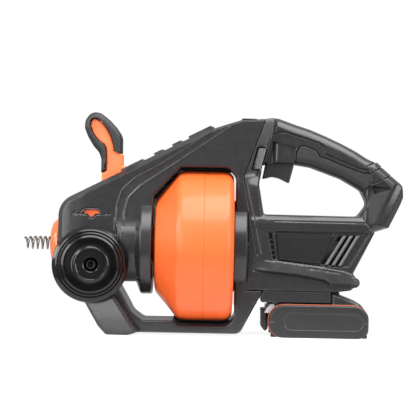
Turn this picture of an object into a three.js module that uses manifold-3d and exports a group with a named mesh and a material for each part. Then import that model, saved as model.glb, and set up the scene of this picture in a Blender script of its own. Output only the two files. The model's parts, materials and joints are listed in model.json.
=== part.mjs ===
// A cordless drain snake machine: a cable drum in a clamshell frame, driven by a motor and a
// two-stage planetary gearbox, with a lever-operated roller feed in the nose.
// Millimetres, +Z up. +X runs from the nose to the rear handle, and Y = 0 is the middle plane.
// The origin is the centre of the front foot's underside. The side handle is on the -Y side.

import * as THREE from "three";
import { mergeVertices } from "three/addons/utils/BufferGeometryUtils.js";
import Module from "manifold-3d";

const wasm = await Module();
wasm.setup();

// ---------- driving dimensions ----------
const AXIS_Z = 96.5; // height of the drum, cable and motor axis
const GAP = 0.3; // clearance between neighbouring pieces
const WALL = 3; // moulded wall thickness
const FRAME_HALF = 32; // half width of the frame
const NOSE_HALF = 36; // half width of the nose, over the roller feed
const BODY_HALF = 33; // half width of the motor housing
const COLUMN_HALF = 26; // half width of the column in front of the grip
const GRIP_HALF = 17; // half width of the grip
const CABLE_R = 3.2;
const THROUGH = 60; // half width of a cutter that goes through the whole machine

const DRUM = { front: 39, rear: 124, split: 88.5, r: 82, faceR: 51, coneEnd: 66, wall: 3 };
const FRONT_BEARING = { x: 24, width: 9, outer: 26, inner: 20 };
const REAR_BEARING = { x: 129, width: 8, outer: 24, inner: 15 };

const GEAR = { module: 1, sun: 12, planet: 15, ring: 42, width: 9 };
const PLANET_ORBIT = (GEAR.module * (GEAR.sun + GEAR.planet)) / 2;
const STAGE_2_X = 146; // gears of the output stage start here
const STAGE_1_X = 161; // gears of the input stage start here
const GEARBOX_ROOM = 26.6; // radius cleared through the housings for the gearbox
const MOTOR = { front: 184, rear: 240, r: 23, shaftR: 2.5 };

const LEVER = { x: -29.5, half: 8, forkInner: 28.6, forkOuter: 31.4 };
const FEED_X = LEVER.x; // middle of the roller feed
const ROLLER = { r: 5, length: 9, orbit: 8.5 };
const CRANK_ARM = 8; // offset of a yoke's crank pin from its pivot
const FORK_ARM = 10.6; // height of the fork's drive pins over the lever's pivot

const BATTERY = { half: 36.5, coreHalf: 32.4, trim: 1.2, left: 157, right: 272, top: 36.6 };
const TRIGGER_TILT = THREE.MathUtils.degToRad(14); // the trigger slides up and back at this angle
const TRIGGER_HALF = 9;

// Side handle: a line from the boss on the nose, leaning back and up towards the user
const SIDE = { base: new THREE.Vector3(-28.8, -46, 75.6), lean: new THREE.Vector3(8, -95, 4).normalize() };
const FAR_BOSS = { x: -29.6, z: 75.2, r: 15, length: 9 };

// ---------- solids ----------
function solidOf(geometry) {
  const bare = geometry.index ? geometry.clone() : mergeVertices(geometry, 1e-4);
  bare.deleteAttribute("normal");
  bare.deleteAttribute("uv");
  const merged = mergeVertices(bare, 1e-4);
  const index = merged.index.array;
  const kept = [];
  for (let i = 0; i < index.length; i += 3) {
    const [a, b, c] = [index[i], index[i + 1], index[i + 2]];
    if (a !== b && b !== c && c !== a) kept.push(a, b, c);
  }
  const make = (triangles) =>
    new wasm.Manifold(
      new wasm.Mesh({
        numProp: 3,
        vertProperties: merged.attributes.position.array,
        triVerts: new Uint32Array(triangles),
      }),
    );
  const solid = make(kept);
  return solid.volume() > 0 ? solid : make(kept.reverse());
}

function geometryOf(solid) {
  const mesh = solid.getMesh();
  const geometry = new THREE.BufferGeometry();
  geometry.setAttribute("position", new THREE.BufferAttribute(mesh.vertProperties, 3));
  geometry.setIndex(new THREE.BufferAttribute(mesh.triVerts, 1));
  geometry.computeVertexNormals();
  return geometry;
}

const join = (...solids) => solids.reduce((a, b) => a.add(b));
const cut = (solid, ...tools) => tools.reduce((a, b) => a.subtract(b), solid);

// ---------- outlines in the XZ plane ----------
// A point is [x, z, radius]: corners with a radius are rounded.
function shapeOf(points) {
  const shape = new THREE.Shape();
  const n = points.length;
  const at = (i) => new THREE.Vector2(...points[(i + n) % n].slice(0, 2));
  for (let i = 0; i < n; i++) {
    const corner = at(i);
    const radius = points[i][2] ?? 0;
    const before = at(i - 1).sub(corner);
    const after = at(i + 1).sub(corner);
    const turn = Math.abs(before.angle() - after.angle());
    const half = (turn > Math.PI ? 2 * Math.PI - turn : turn) / 2;
    const room = Math.min(before.length(), after.length()) / 2;
    const back = Math.min(radius / Math.max(Math.tan(half), 1e-3), room);
    const start = corner.clone().addScaledVector(before.normalize(), back);
    const end = corner.clone().addScaledVector(after.normalize(), back);
    if (i === 0) shape.moveTo(start.x, start.y);
    else shape.lineTo(start.x, start.y);
    if (back > 0) shape.quadraticCurveTo(corner.x, corner.y, end.x, end.y);
  }
  shape.closePath();
  return shape;
}

// The outline with every edge moved in by distance (out, if it is negative).
function inset(points, distance) {
  const area = points.reduce((sum, [x, z], i) => {
    const [nextX, nextZ] = points[(i + 1) % points.length];
    return sum + (x * nextZ - nextX * z) / 2;
  }, 0);
  const side = Math.sign(area) * distance;
  const edges = points.map(([x, z], i) => {
    const [nextX, nextZ] = points[(i + 1) % points.length];
    const along = new THREE.Vector2(nextX - x, nextZ - z).normalize();
    const from = new THREE.Vector2(x - along.y * side, z + along.x * side);
    return { along, from };
  });
  return points.map(([, , radius], i) => {
    const a = edges[(i + points.length - 1) % points.length];
    const b = edges[i];
    const cross = a.along.cross(b.along);
    const offset = b.from.clone().sub(a.from);
    const t = Math.abs(cross) < 1e-6 ? offset.dot(a.along) : offset.cross(b.along) / cross;
    const corner = a.from.clone().addScaledVector(a.along, t);
    return [corner.x, corner.y, Math.max((radius ?? 0) - distance, 0)];
  });
}

// The outline as a plate between two values of Y.
function plate(points, low, high, segments = 3) {
  const options = { depth: high - low, bevelEnabled: false, curveSegments: segments };
  const geometry = new THREE.ExtrudeGeometry(shapeOf(points), options);
  return solidOf(geometry.rotateX(Math.PI / 2).translate(0, high, 0));
}

const slab = (points, half, segments) => plate(points, -half, half, segments);

function box([x0, x1], [y0, y1], [z0, z1]) {
  const geometry = new THREE.BoxGeometry(x1 - x0, y1 - y0, z1 - z0);
  return solidOf(geometry.translate((x0 + x1) / 2, (y0 + y1) / 2, (z0 + z1) / 2));
}

// ---------- turned pieces ----------
// profile is a list of [along, radius]; turned() closes it and turns it about the X axis.
function turned(profile, segments = 40, height = AXIS_Z) {
  const onAxis = profile[0][1] === 0 && profile.at(-1)[1] === 0;
  const points = (onAxis ? profile : [...profile, profile[0]]).map(([x, r]) => new THREE.Vector2(r, x));
  const geometry = new THREE.LatheGeometry(points, segments).rotateZ(-Math.PI / 2);
  return solidOf(geometry.translate(0, 0, height));
}

const tube = (x0, x1, outer, inner, segments) =>
  turned([[x0, inner], [x0, outer], [x1, outer], [x1, inner]], segments);

const disc = (x0, x1, r, segments) => turned([[x0, 0], [x0, r], [x1, r], [x1, 0]], segments);

// The same, about the line that starts at origin and runs along direction.
function turnedAlong(profile, origin, direction, segments = 32) {
  const onAxis = profile[0][1] === 0 && profile.at(-1)[1] === 0;
  const points = (onAxis ? profile : [...profile, profile[0]]).map(([s, r]) => new THREE.Vector2(r, s));
  const turn = new THREE.Quaternion().setFromUnitVectors(new THREE.Vector3(0, 1, 0), direction);
  const geometry = new THREE.LatheGeometry(points, segments).applyQuaternion(turn);
  return solidOf(geometry.translate(origin.x, origin.y, origin.z));
}

function rod(from, to, r, segments = 16) {
  const start = new THREE.Vector3(...from);
  const direction = new THREE.Vector3(...to).sub(start);
  const length = direction.length();
  return turnedAlong([[0, 0], [0, r], [length, r], [length, 0]], start, direction.normalize(), segments);
}

function coilSpring(from, direction, { turns, pitch, r, wire, steps, sides }) {
  const turn = new THREE.Quaternion().setFromUnitVectors(new THREE.Vector3(0, 0, 1), direction);
  const points = [];
  for (let i = 0; i <= turns * steps; i++) {
    const angle = (2 * Math.PI * i) / steps;
    const local = new THREE.Vector3(r * Math.cos(angle), r * Math.sin(angle), (pitch * i) / steps);
    points.push(local.applyQuaternion(turn).add(from));
  }
  const section = new THREE.Shape().absarc(0, 0, wire, 0, 2 * Math.PI);
  const extrudePath = new THREE.CatmullRomCurve3(points);
  const options = { steps: turns * steps, bevelEnabled: false, extrudePath, curveSegments: sides };
  return solidOf(new THREE.ExtrudeGeometry(section, options));
}

// ---------- scene graph ----------
const machine = new THREE.Group();
machine.name = "drain_snake_machine";

const FINISH = {
  blackPlastic: { color: 0x2b2b2d, roughness: 0.55, metalness: 0 },
  greyPlastic: { color: 0x47464c, roughness: 0.4, metalness: 0 },
  orange: { color: 0xff6a1c, roughness: 0.35, metalness: 0 },
  rubber: { color: 0x1d1d1e, roughness: 0.85, metalness: 0 },
  steel: { color: 0xa8abae, roughness: 0.3, metalness: 1 },
  darkSteel: { color: 0x55575a, roughness: 0.4, metalness: 1 },
  brass: { color: 0xb08d4a, roughness: 0.35, metalness: 1 },
  copper: { color: 0xb0673a, roughness: 0.4, metalness: 1 },
  cell: { color: 0x3f7f6c, roughness: 0.5, metalness: 0 },
};
const materials = Object.fromEntries(
  Object.entries(FINISH).map(([name, look]) => [name, new THREE.MeshStandardMaterial(look)]),
);

function addPiece(name, solid, finish) {
  const mesh = new THREE.Mesh(geometryOf(solid), materials[finish]);
  mesh.name = name;
  machine.add(mesh);
}

const HALVES = { near: [-200, -GAP / 2], far: [GAP / 2, 200] };

function addHalves(name, solid, finish, extra = {}) {
  for (const [side, range] of Object.entries(HALVES)) {
    const half = solid.intersect(box([-200, 400], range, [-50, 300]));
    addPiece(`${name}_${side}`, extra[side] ? extra[side](half) : half, finish);
  }
}

// ---------- frame ----------
const FRAME_OUTLINE = [
  [-66, 66, 14], [-66, 141.7, 24], [88, 220.4, 20], [131, 234, 8], [156, 235.5], [133.5, 172.5],
  [149, 90], [139.5, 82], [139.5, 49.6], [157, 49.6], [132.5, 2.3, 10], [17, 2.3, 6], [-13, 48],
  [-28, 56], [-50, 56, 10],
];
const WINDOW_OUTLINE = [
  [66, 182, 4], [37, 150, 4], [37, 60], [21, 60], [21, 58], [-3, 58, 2], [16, 24, 14], [27, 16, 8],
  [60, 16.2], [66, 11], [118, 11, 9], [126.5, 20, 9], [126.5, 172.5, 10], [117.5, 182, 10],
];
const NOSE_OUTLINE = [[-66, 66, 14], [-66, 141.7, 24], [16, 183.5], [5, 58], [-28, 56], [-50, 56, 10]];
const LEVER_SLOT = [[-35, 140], [-35, 175], [26, 205], [26, 160]];
const INDICATOR_WINDOW = [
  [-40, 130], [-36, 134, 3], [-23, 134, 3], [-19, 130], [-26, 129.5], [-29.5, 124.5, 2], [-33, 129.5],
];

function frontCollar() {
  const { x, width, outer } = FRONT_BEARING;
  return turned(
    [
      [3, 41], [20.5, 41], [26, 54], [36.2, 54], [36.2, 21.5], [x + width + GAP, 21.5],
      [x + width + GAP, outer + GAP], [x - GAP, outer + GAP], [x - GAP, 12], [20, 12], [20, 38], [3, 38],
    ],
    28,
  );
}

function rearCollar() {
  const { x, width, outer } = REAR_BEARING;
  const seat = x + width + GAP;
  return turned([[127, 50], [139, 50], [139, 18], [seat, 18], [seat, outer + GAP], [127, outer + GAP]], 28);
}

// Raised pads on the top of the frame, each from one distance to another along the slope.
const TOP_PADS = { ranges: [[75, 103], [115, 127], [137, 149], [157, 185]], height: 2.2, half: 24 };

function topPads() {
  const [, [startX, startZ], [endX, endZ]] = FRAME_OUTLINE;
  const slope = new THREE.Vector2(endX - startX, endZ - startZ).normalize();
  return TOP_PADS.ranges.map(([from, to]) => {
    const at = (s, lift) => {
      const p = new THREE.Vector2(startX, startZ).addScaledVector(slope, s);
      return [p.x - slope.y * lift, p.y + slope.x * lift];
    };
    const outline = [at(from, -1), at(from + 1.5, TOP_PADS.height), at(to - 3, TOP_PADS.height), at(to, -1)];
    return slab(outline, TOP_PADS.half);
  });
}

function frame() {
  const [front, rear] = [frontCollar(), rearCollar()];
  const inside = slab(inset(FRAME_OUTLINE, WALL), FRAME_HALF - WALL);
  const cavity = cut(inside, slab(inset(WINDOW_OUTLINE, -WALL), THROUGH));
  const noseCavity = slab(inset(NOSE_OUTLINE, WALL), NOSE_HALF - WALL);
  const body = cut(slab(FRAME_OUTLINE, FRAME_HALF), slab(WINDOW_OUTLINE, THROUGH));
  const shell = cut(
    join(body, slab(NOSE_OUTLINE, NOSE_HALF), ...topPads()),
    cavity,
    noseCavity,
    disc(-5, 37.6, 37.5, 28), // clear inside the front collar
    disc(126, 140, 49, 28),
    disc(139, 160, GEARBOX_ROOM, 26),
    disc(-70, -60, 9.5, 24), // cable outlet
    slab(LEVER_SLOT, 11),
    rod([LEVER.x, -34.6, AXIS_Z], [LEVER.x, 34.6, AXIS_Z], 4, 14), // trunnion pockets
  );
  return join(shell, front, rear);
}

const SCREW_R = 1.7;
const FRAME_SCREWS = [[60, 194, FRAME_HALF], [126, 222, FRAME_HALF], [36, 9, FRAME_HALF]];

function addFrame() {
  const bossNear = turnedAlong([[-12.4, 0], [-12.4, 15], [-1, 15], [-1, 0]], SIDE.base, SIDE.lean, 20);
  const boreNear = turnedAlong([[-16, 0], [-16, 5.4], [2, 5.4], [2, 0]], SIDE.base, SIDE.lean, 12);
  const { x, z, r, length } = FAR_BOSS;
  const bossFar = rod([x, NOSE_HALF - WALL, z], [x, NOSE_HALF + length, z], r, 20);
  const boreFar = rod([x, NOSE_HALF - 10, z], [x, NOSE_HALF + length + 1, z], 5, 12);
  const screws = FRAME_SCREWS.map(([sx, sz, face]) => join(
    rod([sx, 0, sz], [sx, face + 20, sz], SCREW_R + GAP, 10),
    rod([sx, face - 6, sz], [sx, face + 20, sz], 4, 12),
  ));
  const posts = FRAME_SCREWS.map(([sx, sz, face]) => rod([sx, 0, sz], [sx, face - 1, sz], 5, 8));
  addHalves("frame_shell", frame(), "blackPlastic", {
    near: (half) => cut(join(half, bossNear), boreNear, plate(INDICATOR_WINDOW, -40, -30)),
    far: (half) => cut(join(half, bossFar, ...posts), boreFar, ...screws),
  });
  FRAME_SCREWS.slice(0, 2).forEach(([sx, sz, face], i) => {
    const head = face - 5.5;
    const shank = rod([sx, 1, sz], [sx, head, sz], SCREW_R, 10);
    const cap = rod([sx, head - 0.1, sz], [sx, head + 2.5, sz], 3.4, 12);
    addPiece(`frame_screw_${i + 1}`, join(shank, cap), "darkSteel");
  });
}

// ---------- front foot ----------
const LEG_OUTLINE = [
  [-49, 57], [-36, 36], [-20.5, 10, 6], [-11, 0, 6], [11, 0], [25, 4.5], [19, 12], [-8, 53], [-22, 62],
];
const FOOT_HALF = 47;
const FOOT_TOP_HALF = 39;

function addFrontFoot() {
  const blank = slab(LEG_OUTLINE, FOOT_HALF);
  const lean = Math.atan2(FOOT_HALF - FOOT_TOP_HALF, 36);
  const flanks = [-1, 1].map((side) => {
    const geometry = new THREE.BoxGeometry(200, 40, 200);
    geometry.translate(0, side * 20, 0).rotateX(side * lean).translate(0, side * (FOOT_TOP_HALF + 1), 46);
    return solidOf(geometry);
  });
  const room = slab(inset(FRAME_OUTLINE, -GAP), FRAME_HALF + GAP);
  const noseRoom = slab(inset(NOSE_OUTLINE, -GAP), NOSE_HALF + GAP);
  const innerSide = slab([[-3, 58], [16, 24], [27, 16], [60, 16], [60, 70], [-3, 70]], FRAME_HALF + GAP);
  const collarRoom = disc(2, 40, 54.5, 48);
  const bossRoom = box([-50, 0], [-60, 60], [58, 100]);
  const foot = cut(blank, ...flanks, room, noseRoom, innerSide, collarRoom, bossRoom);
  addPiece("front_foot", foot, "greyPlastic");
}

// ---------- nose ----------
function addNose() {
  const bezel = turned([[-66.3, 9], [-66.3, 24.5], [-69, 24.2], [-73, 20], [-76.5, 13], [-76.7, 9]], 30);
  addPiece("nose_bezel", bezel, "orange");
  const guide = turned([[-66.8, 4], [-66.8, 8.8], [-62, 8.8], [-62, 8], [-46, 8], [-46, 4]], 24);
  addPiece("nose_guide_tube", guide, "brass");
  addPiece("rear_guide_tube", tube(-11, 33, 7, 4.2, 24), "brass");
}

// ---------- roller feed ----------
const FEED_ANGLES = [90, 210, 330].map(THREE.MathUtils.degToRad);

// Points near a roller: s outwards from the cable, t around it, x along it.
function feedFrame(angle) {
  const out = [Math.cos(angle), Math.sin(angle)];
  return (x, t, s) => [FEED_X + x, s * out[0] - t * out[1], AXIS_Z + s * out[1] + t * out[0]];
}

function turnAboutCable(solid, angle) {
  const turn = THREE.MathUtils.radToDeg(angle) - 90;
  return solid.translate([0, 0, -AXIS_Z]).rotate([turn, 0, 0]).translate([0, 0, AXIS_Z]);
}

// The yoke over the cable, as it stands at 90 degrees.
function yoke() {
  const { length, orbit } = ROLLER;
  const z = (s) => AXIS_Z + s;
  const arm = (x0, x1) => box([FEED_X + x0, FEED_X + x1], [-3, 3], [z(orbit - 3), z(16.4)]);
  const half = length / 2;
  const bore = rod([FEED_X - 9, 0, z(orbit)], [FEED_X + 9, 0, z(orbit)], 1.8, 12);
  const bridge = box([FEED_X - half - 3, FEED_X + half + 3], [-3, 3], [z(14), z(16.5)]);
  const stem = rod([FEED_X, 0, z(16)], [FEED_X, 0, z(21.6)], 2.5, 12);
  const crank = box([FEED_X - 2.5, FEED_X + 2.5], [-2.5 - CRANK_ARM, 2.5], [z(19.7), z(21.6)]);
  const pin = rod([FEED_X, -CRANK_ARM, z(21)], [FEED_X, -CRANK_ARM, z(27)], 2, 8);
  return cut(join(arm(-half - 3, -half - 0.5), arm(half + 0.5, half + 3), bridge, stem, crank, pin), bore);
}

function feedRoller() {
  const { r, length, orbit } = ROLLER;
  const half = length / 2;
  const end = half + 2.8; // the journal reaches this far
  const profile = [
    [-end, 0], [-end, 1.5], [-half, 1.5], [-half, r], [half, r], [half, 1.5], [end, 1.5], [end, 0],
  ];
  return turned(profile.map(([x, radius]) => [FEED_X + x, radius]), 14, AXIS_Z + orbit);
}

function addRollerFeed() {
  const cageProfile = [
    [-43, 17.2], [-16, 17.2], [-16, 8], [-12.5, 8], [-12.5, 31], [-16, 31], [-16, 19.2], [-43, 19.2],
  ];
  const cage = turned(cageProfile, 26);
  const ringProfile = [
    [-4, 25], [-4, 28.5], [-2.3, 28.5], [-2.3, 26.6], [2.3, 26.6], [2.3, 28.5], [4, 28.5], [4, 25],
  ];
  const ring = turned(ringProfile.map(([x, r]) => [FEED_X + x, r]), 28);
  const stemBores = FEED_ANGLES.map((angle) => {
    const at = feedFrame(angle);
    return rod(at(0, 0, 14), at(0, 0, 24), 2.9, 12);
  });
  const pinBores = FEED_ANGLES.map((angle) => {
    const at = feedFrame(angle);
    return rod(at(0, CRANK_ARM, 20), at(0, CRANK_ARM, 32), 2.5, 8);
  });
  addPiece("roller_cage", cut(cage, ...stemBores), "darkSteel");
  addPiece("shift_ring", cut(ring, ...pinBores), "steel");
  FEED_ANGLES.forEach((angle, i) => {
    addPiece(`roller_yoke_${i + 1}`, turnAboutCable(yoke(), angle), "darkSteel");
    addPiece(`feed_roller_${i + 1}`, turnAboutCable(feedRoller(), angle), "steel");
  });
}

// ---------- feed lever ----------
const LEVER_STALK = [
  [-24, 143], [-21.5, 165], [-20.5, 176], [-18, 205, 6], [-30, 222, 8], [-33, 231, 6], [-28, 236, 6],
  [-14, 228, 10], [-5, 212, 10], [-3.5, 199], [0, 197], [0, 184], [8.5, 181.4], [6, 174], [-2, 160],
  [-12, 143],
];
const LEVER_GRIP = [
  [-22, 172], [-22.4, 196, 8], [-36, 210, 10], [-41.5, 227, 12], [-30, 243, 12], [-14, 236, 8],
  [1, 219, 10], [0.4, 197], [-2, 198], [-2, 206], [-18, 204], [-17.8, 180],
];

function addLever() {
  const { x, half, forkInner, forkOuter } = LEVER;
  const arm = [
    [x - 7, AXIS_Z - 7, 6], [x + 7, AXIS_Z - 7, 6], [x + 9, 120], [-12, 143], [-12, 156], [-36, 146],
    [x - 8, 120],
  ];
  const arms = [-1, 1].map((side) => {
    const [a, b] = [side * forkInner, side * forkOuter].sort((p, q) => p - q);
    const driveZ = AXIS_Z + FORK_ARM;
    const drive = rod([x, side * 25.7, driveZ], [x, side * (forkInner + 1), driveZ], 2, 12);
    const trunnion = rod([x, side * (forkInner + 1), AXIS_Z], [x, side * 34.3, AXIS_Z], 3.6, 14);
    return join(plate(arm, a, b), drive, trunnion);
  });
  const bridge = slab([[-36, 140], [-12, 140], [-12, 156], [-36, 146]], forkOuter);
  addPiece("feed_lever", join(...arms, bridge, slab(LEVER_STALK, half)), "orange");
  const sleeve = cut(
    slab(LEVER_GRIP, half + 5, 5),
    slab(inset(LEVER_STALK, -GAP), half + GAP),
    slab(inset(LEVER_STALK, 3), 30), // the stalk's face shows through the sleeve
  );
  addPiece("lever_grip", sleeve, "rubber");
  const flag = [[-38, 130], [-38, 133], [-21, 133], [-21, 130], [-28, 130], [-29.5, 125.5], [-31, 130]];
  addPiece("feed_indicator", plate(flag, -32.7, -31.7), "orange");
}

// ---------- side handle ----------
function addSideHandle() {
  const grip = [
    [0, 5.4], [0, 14], [2, 14], [2, 37.5], [4, 39.8], [7.5, 39.8], [9, 38], [8.4, 30], [12, 25],
    [20, 18.5], [32, 16], [92, 17.6], [100, 17.3], [103, 15.5], [103, 7.2], [96, 7.2], [96, 5.4],
  ];
  addPiece("side_handle_grip", turnedAlong(grip, SIDE.base, SIDE.lean, 24), "blackPlastic");
  const bolt = [[-12, 0], [-12, 4.9], [96.4, 4.9], [96.4, 6.6], [100.5, 6.6], [100.5, 3], [98, 3], [98, 0]];
  addPiece("side_handle_bolt", turnedAlong(bolt, SIDE.base, SIDE.lean, 12), "steel");
}

// ---------- drum ----------
function addDrum() {
  const { front, rear, split, r, faceR, coneEnd, wall } = DRUM;
  const neckX = FRONT_BEARING.x;
  const neckR = FRONT_BEARING.inner - GAP - 3;
  addPiece("drum_front_shell", turned([
    [neckX, 10], [neckX, neckR], [front - 1.5, neckR], [front - 1.5, 26], [front, 26], [front, faceR - 1],
    [front + 1, faceR + 1], [coneEnd - 1, r - 1], [coneEnd + 1, r], [split - GAP / 2, r],
    [split - GAP / 2, r - wall], [coneEnd + 1, r - wall], [front + wall, faceR - 2], [front + wall, 10],
  ], 38), "orange");
  const rearShell = turned([
    [split + GAP / 2, r - wall], [split + GAP / 2, r], [rear - 6, r], [rear - 2, r - 2],
    [rear - 0.5, r - 7], [rear, r - 12], [rear, 16], [rear - wall, 16], [rear - wall, r - 12],
    [rear - 8, r - wall],
  ], 38);
  const screwCircleR = 26;
  const screwAngles = [0, 1, 2, 3].map((i) => (i * Math.PI) / 2 + Math.PI / 4);
  const at = (angle, x) => [x, screwCircleR * Math.cos(angle), AXIS_Z + screwCircleR * Math.sin(angle)];
  const bores = screwAngles.map((angle) => rod(at(angle, 105), at(angle, 130), 2.3, 8));
  addPiece("drum_rear_shell", cut(rearShell, ...bores), "orange");
  const hub = turned([
    [108, 7.4], [108, 32], [rear - wall - GAP, 32], [rear - wall - GAP, 15.6], [rear, 15.6],
    [rear + GAP, 22], [127.2, 22], [127.2, 16], [REAR_BEARING.x - 0.4, 12.1], [137, 12.1], [137, 7.4],
  ], 26);
  addPiece("drum_hub", cut(hub, ...bores), "blackPlastic");
}

function addBearings() {
  const bearings = Object.entries({ front: FRONT_BEARING, rear: REAR_BEARING });
  for (const [name, { x, width, outer, inner }] of bearings) {
    const middle = (outer + inner) / 2;
    addPiece(`${name}_bearing_outer`, tube(x, x + width, outer, middle + 0.4, 26), "steel");
    addPiece(`${name}_bearing_inner`, tube(x, x + width, middle - 0.4, inner - 2.6, 26), "steel");
  }
}

// ---------- cable ----------
function addCable() {
  addPiece("cable_coil", turned([[62, 67], [62, 71], [67, 76.5], [98, 76.5], [98, 67]], 30), "steel");
  addPiece("cable_lead", disc(-67, 96, CABLE_R, 12), "steel");
  const headStart = new THREE.Vector3(-67.6, 0, AXIS_Z);
  const headSize = { turns: 8, pitch: 4.5, r: 6.5, wire: 0.9, steps: 8, sides: 3 };
  addPiece("auger_head", coilSpring(headStart, new THREE.Vector3(-1, 0, 0), headSize), "steel");
}

// ---------- gearbox and motor ----------
// A gear outline with a tooth on its local +X axis. bulge makes the teeth wider, for a ring gear's cutter.
function gearShape(teeth, { bulge = 0, tip, root }) {
  const pitchR = (GEAR.module * teeth) / 2;
  const step = (2 * Math.PI) / teeth;
  const shape = new THREE.Shape();
  const halfAngles = [[pitchR - root, 0.36], [pitchR + tip, 0.1]];
  const flank = halfAngles.map(([r, share]) => [r, share * step + bulge / r]);
  for (let i = 0; i < teeth; i++) {
    const points = [...flank.map(([r, a]) => [r, -a]), ...flank.toReversed().map(([r, a]) => [r, a])];
    for (const [r, a] of points) {
      const [x, y] = [r * Math.cos(i * step + a), r * Math.sin(i * step + a)];
      if (i === 0 && a === points[0][1]) shape.moveTo(x, y);
      else shape.lineTo(x, y);
    }
  }
  shape.closePath();
  return shape;
}

// A gear across X, with its local +X axis pointing down.
function gearSolid(shape, x, width, across = 0, up = 0) {
  const geometry = new THREE.ExtrudeGeometry(shape, { depth: width, bevelEnabled: false });
  return solidOf(geometry.rotateY(Math.PI / 2).translate(x, across, AXIS_Z + up));
}

const OUTER_TEETH = { tip: 0.85, root: 1.15 };
const RING_CUTTER = { bulge: 0.18, tip: 1.2, root: 0.8 };
const planetPlace = (k) => {
  const angle = (2 * Math.PI * k) / 3;
  return [PLANET_ORBIT * Math.sin(angle), -PLANET_ORBIT * Math.cos(angle)];
};

function planet(x, k) {
  const [across, up] = planetPlace(k);
  const gear = gearSolid(gearShape(GEAR.planet, OUTER_TEETH), x, GEAR.width, across, up);
  return cut(gear, rod([x - 1, across, AXIS_Z + up], [x + GEAR.width + 1, across, AXIS_Z + up], 2.6, 10));
}

// A carrier plate with three planet pins pointing to the rear.
function carrier(plateX, gearX) {
  const pins = [0, 1, 2].map((k) => {
    const [across, up] = planetPlace(k);
    return rod([plateX, across, AXIS_Z + up], [gearX + GEAR.width, across, AXIS_Z + up], 2.2, 10);
  });
  return join(disc(plateX, gearX - 0.5, 18.4, 24), ...pins);
}

function addGearbox() {
  const sunShape = gearShape(GEAR.sun, OUTER_TEETH);
  const ringBlank = tube(142, 178, 26, 23.5, 28);
  const ringX = STAGE_2_X - 1.5;
  const ringWidth = STAGE_1_X + GEAR.width + 1.5 - ringX;
  const ringCutter = gearSolid(gearShape(GEAR.ring, RING_CUTTER), ringX - 1, ringWidth + 2);
  const teeth = cut(disc(ringX, ringX + ringWidth, 24, 28), ringCutter);
  addPiece("ring_gear_housing", join(ringBlank, teeth), "darkSteel");
  const shaft = disc(110, STAGE_2_X - 3, 7, 24);
  addPiece("output_carrier", join(carrier(STAGE_2_X - 3.4, STAGE_2_X), shaft), "steel");
  const secondSun = gearSolid(sunShape, STAGE_2_X + 0.2, STAGE_1_X - 3 - STAGE_2_X);
  addPiece("input_carrier", join(carrier(STAGE_1_X - 3.4, STAGE_1_X), secondSun), "steel");
  for (const k of [0, 1, 2]) {
    addPiece(`output_planet_${k + 1}`, planet(STAGE_2_X, k), "steel");
    addPiece(`input_planet_${k + 1}`, planet(STAGE_1_X, k), "steel");
  }
  const pinion = gearSolid(sunShape, STAGE_1_X + 0.2, GEAR.width + 1);
  const { front, rear, r, shaftR } = MOTOR;
  const armature = turned([
    [STAGE_1_X + 4, 0], [STAGE_1_X + 4, shaftR], [front + 9, shaftR], [front + 9, 9], [front + 14, 14],
    [rear - 20, 14], [rear - 15, 9], [rear - 12, 7], [rear - 5, 7], [rear - 5, shaftR],
    [rear + 12, shaftR], [rear + 12, 0],
  ], 18);
  addPiece("motor_armature", join(armature, pinion), "copper");
  const can = turned([
    [front, 7], [front, r], [rear - 2.5, r], [rear - 2.5, r - 1.6], [rear - 14, r - 1.6],
    [rear - 14, 15], [front + 7, 15], [front + 7, r - 1.6], [front + 2, r - 1.6], [front + 2, 7],
  ], 24);
  addPiece("motor_can", can, "darkSteel");
  const cap = turned([[rear - 2, 4], [rear - 2, r], [rear + 2, r - 2], [rear + 4, 8], [rear + 4, 4]], 24);
  addPiece("motor_end_cap", cap, "blackPlastic");
  const blades = [0, 1, 2, 3, 4, 5].map((i) => {
    const blade = new THREE.BoxGeometry(5, 1.6, 12).translate(rear + 8.5, 0, 11);
    return solidOf(blade.rotateX((i * Math.PI) / 3).translate(0, 0, AXIS_Z));
  });
  const fan = join(disc(rear + 6, rear + 11.5, 6, 20), disc(rear + 6, rear + 7.4, 17, 18), ...blades);
  addPiece("cooling_fan", cut(fan, disc(rear, rear + 20, shaftR + GAP, 16)), "blackPlastic");
}

// ---------- rear housing ----------
const REAR_OUTLINE = [
  [156.6, 235.6], [170.5, 238, 10], [214, 226, 40], [254, 206, 30], [279, 191.5, 8], [308.5, 166.5, 6],
  [310.5, 152, 4], [294.6, 120], [277.5, 114.4], [253.4, 70], [260.6, 60, 3], [251.5, 52, 4],
  [233, 49.2], [173, 49.2], [173, 37.4], [155, 37.4], [160, 48.6], [158, 50], [140, 50], [140, 81.5],
  [149.6, 89.5], [134.1, 172.3],
];
const HAND_OPENING = [
  [155, 186], [151.4, 165, 4], [157, 132.3, 3], [259.5, 131.6, 6], [269.8, 145, 8], [262, 160.5, 10],
  [240, 172.8, 20], [207, 184.6, 20], [191, 187, 3],
];
const MOTOR_OUTLINE = [
  [140, 50], [140, 81.5], [149.6, 89.5], [143.5, 122.5], [148, 131], [262, 130], [276, 113],
  [253.4, 70], [260.6, 60, 3], [251.5, 52, 4], [233, 49.2],
];
const COLUMN_OUTLINE = [
  [157, 120], [148, 126], [134.1, 172.3], [156.6, 235.6], [170.5, 238, 8], [164, 205], [154.5, 186],
  [151.4, 165],
];
const TRIGGER_POCKET = [[152, 160], [152, 203], [192, 203], [192, 160]];
const SELECTOR = [[143.4, 180.2, 1], [149, 204, 1], [158.5, 204, 1], [152.6, 180.2, 1]];
const VENT_PITCH = 7.5;
const VENTS = [0, 1, 2].map((i) =>
  [[222, 79.5], [238, 110.5], [241.5, 110.5], [225.5, 79.5]].map(([x, z]) => [x + VENT_PITCH * i, z]),
);
const FRONT_VENT = [[161.5, 113], [164.5, 113], [170, 84], [167, 84]];

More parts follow.
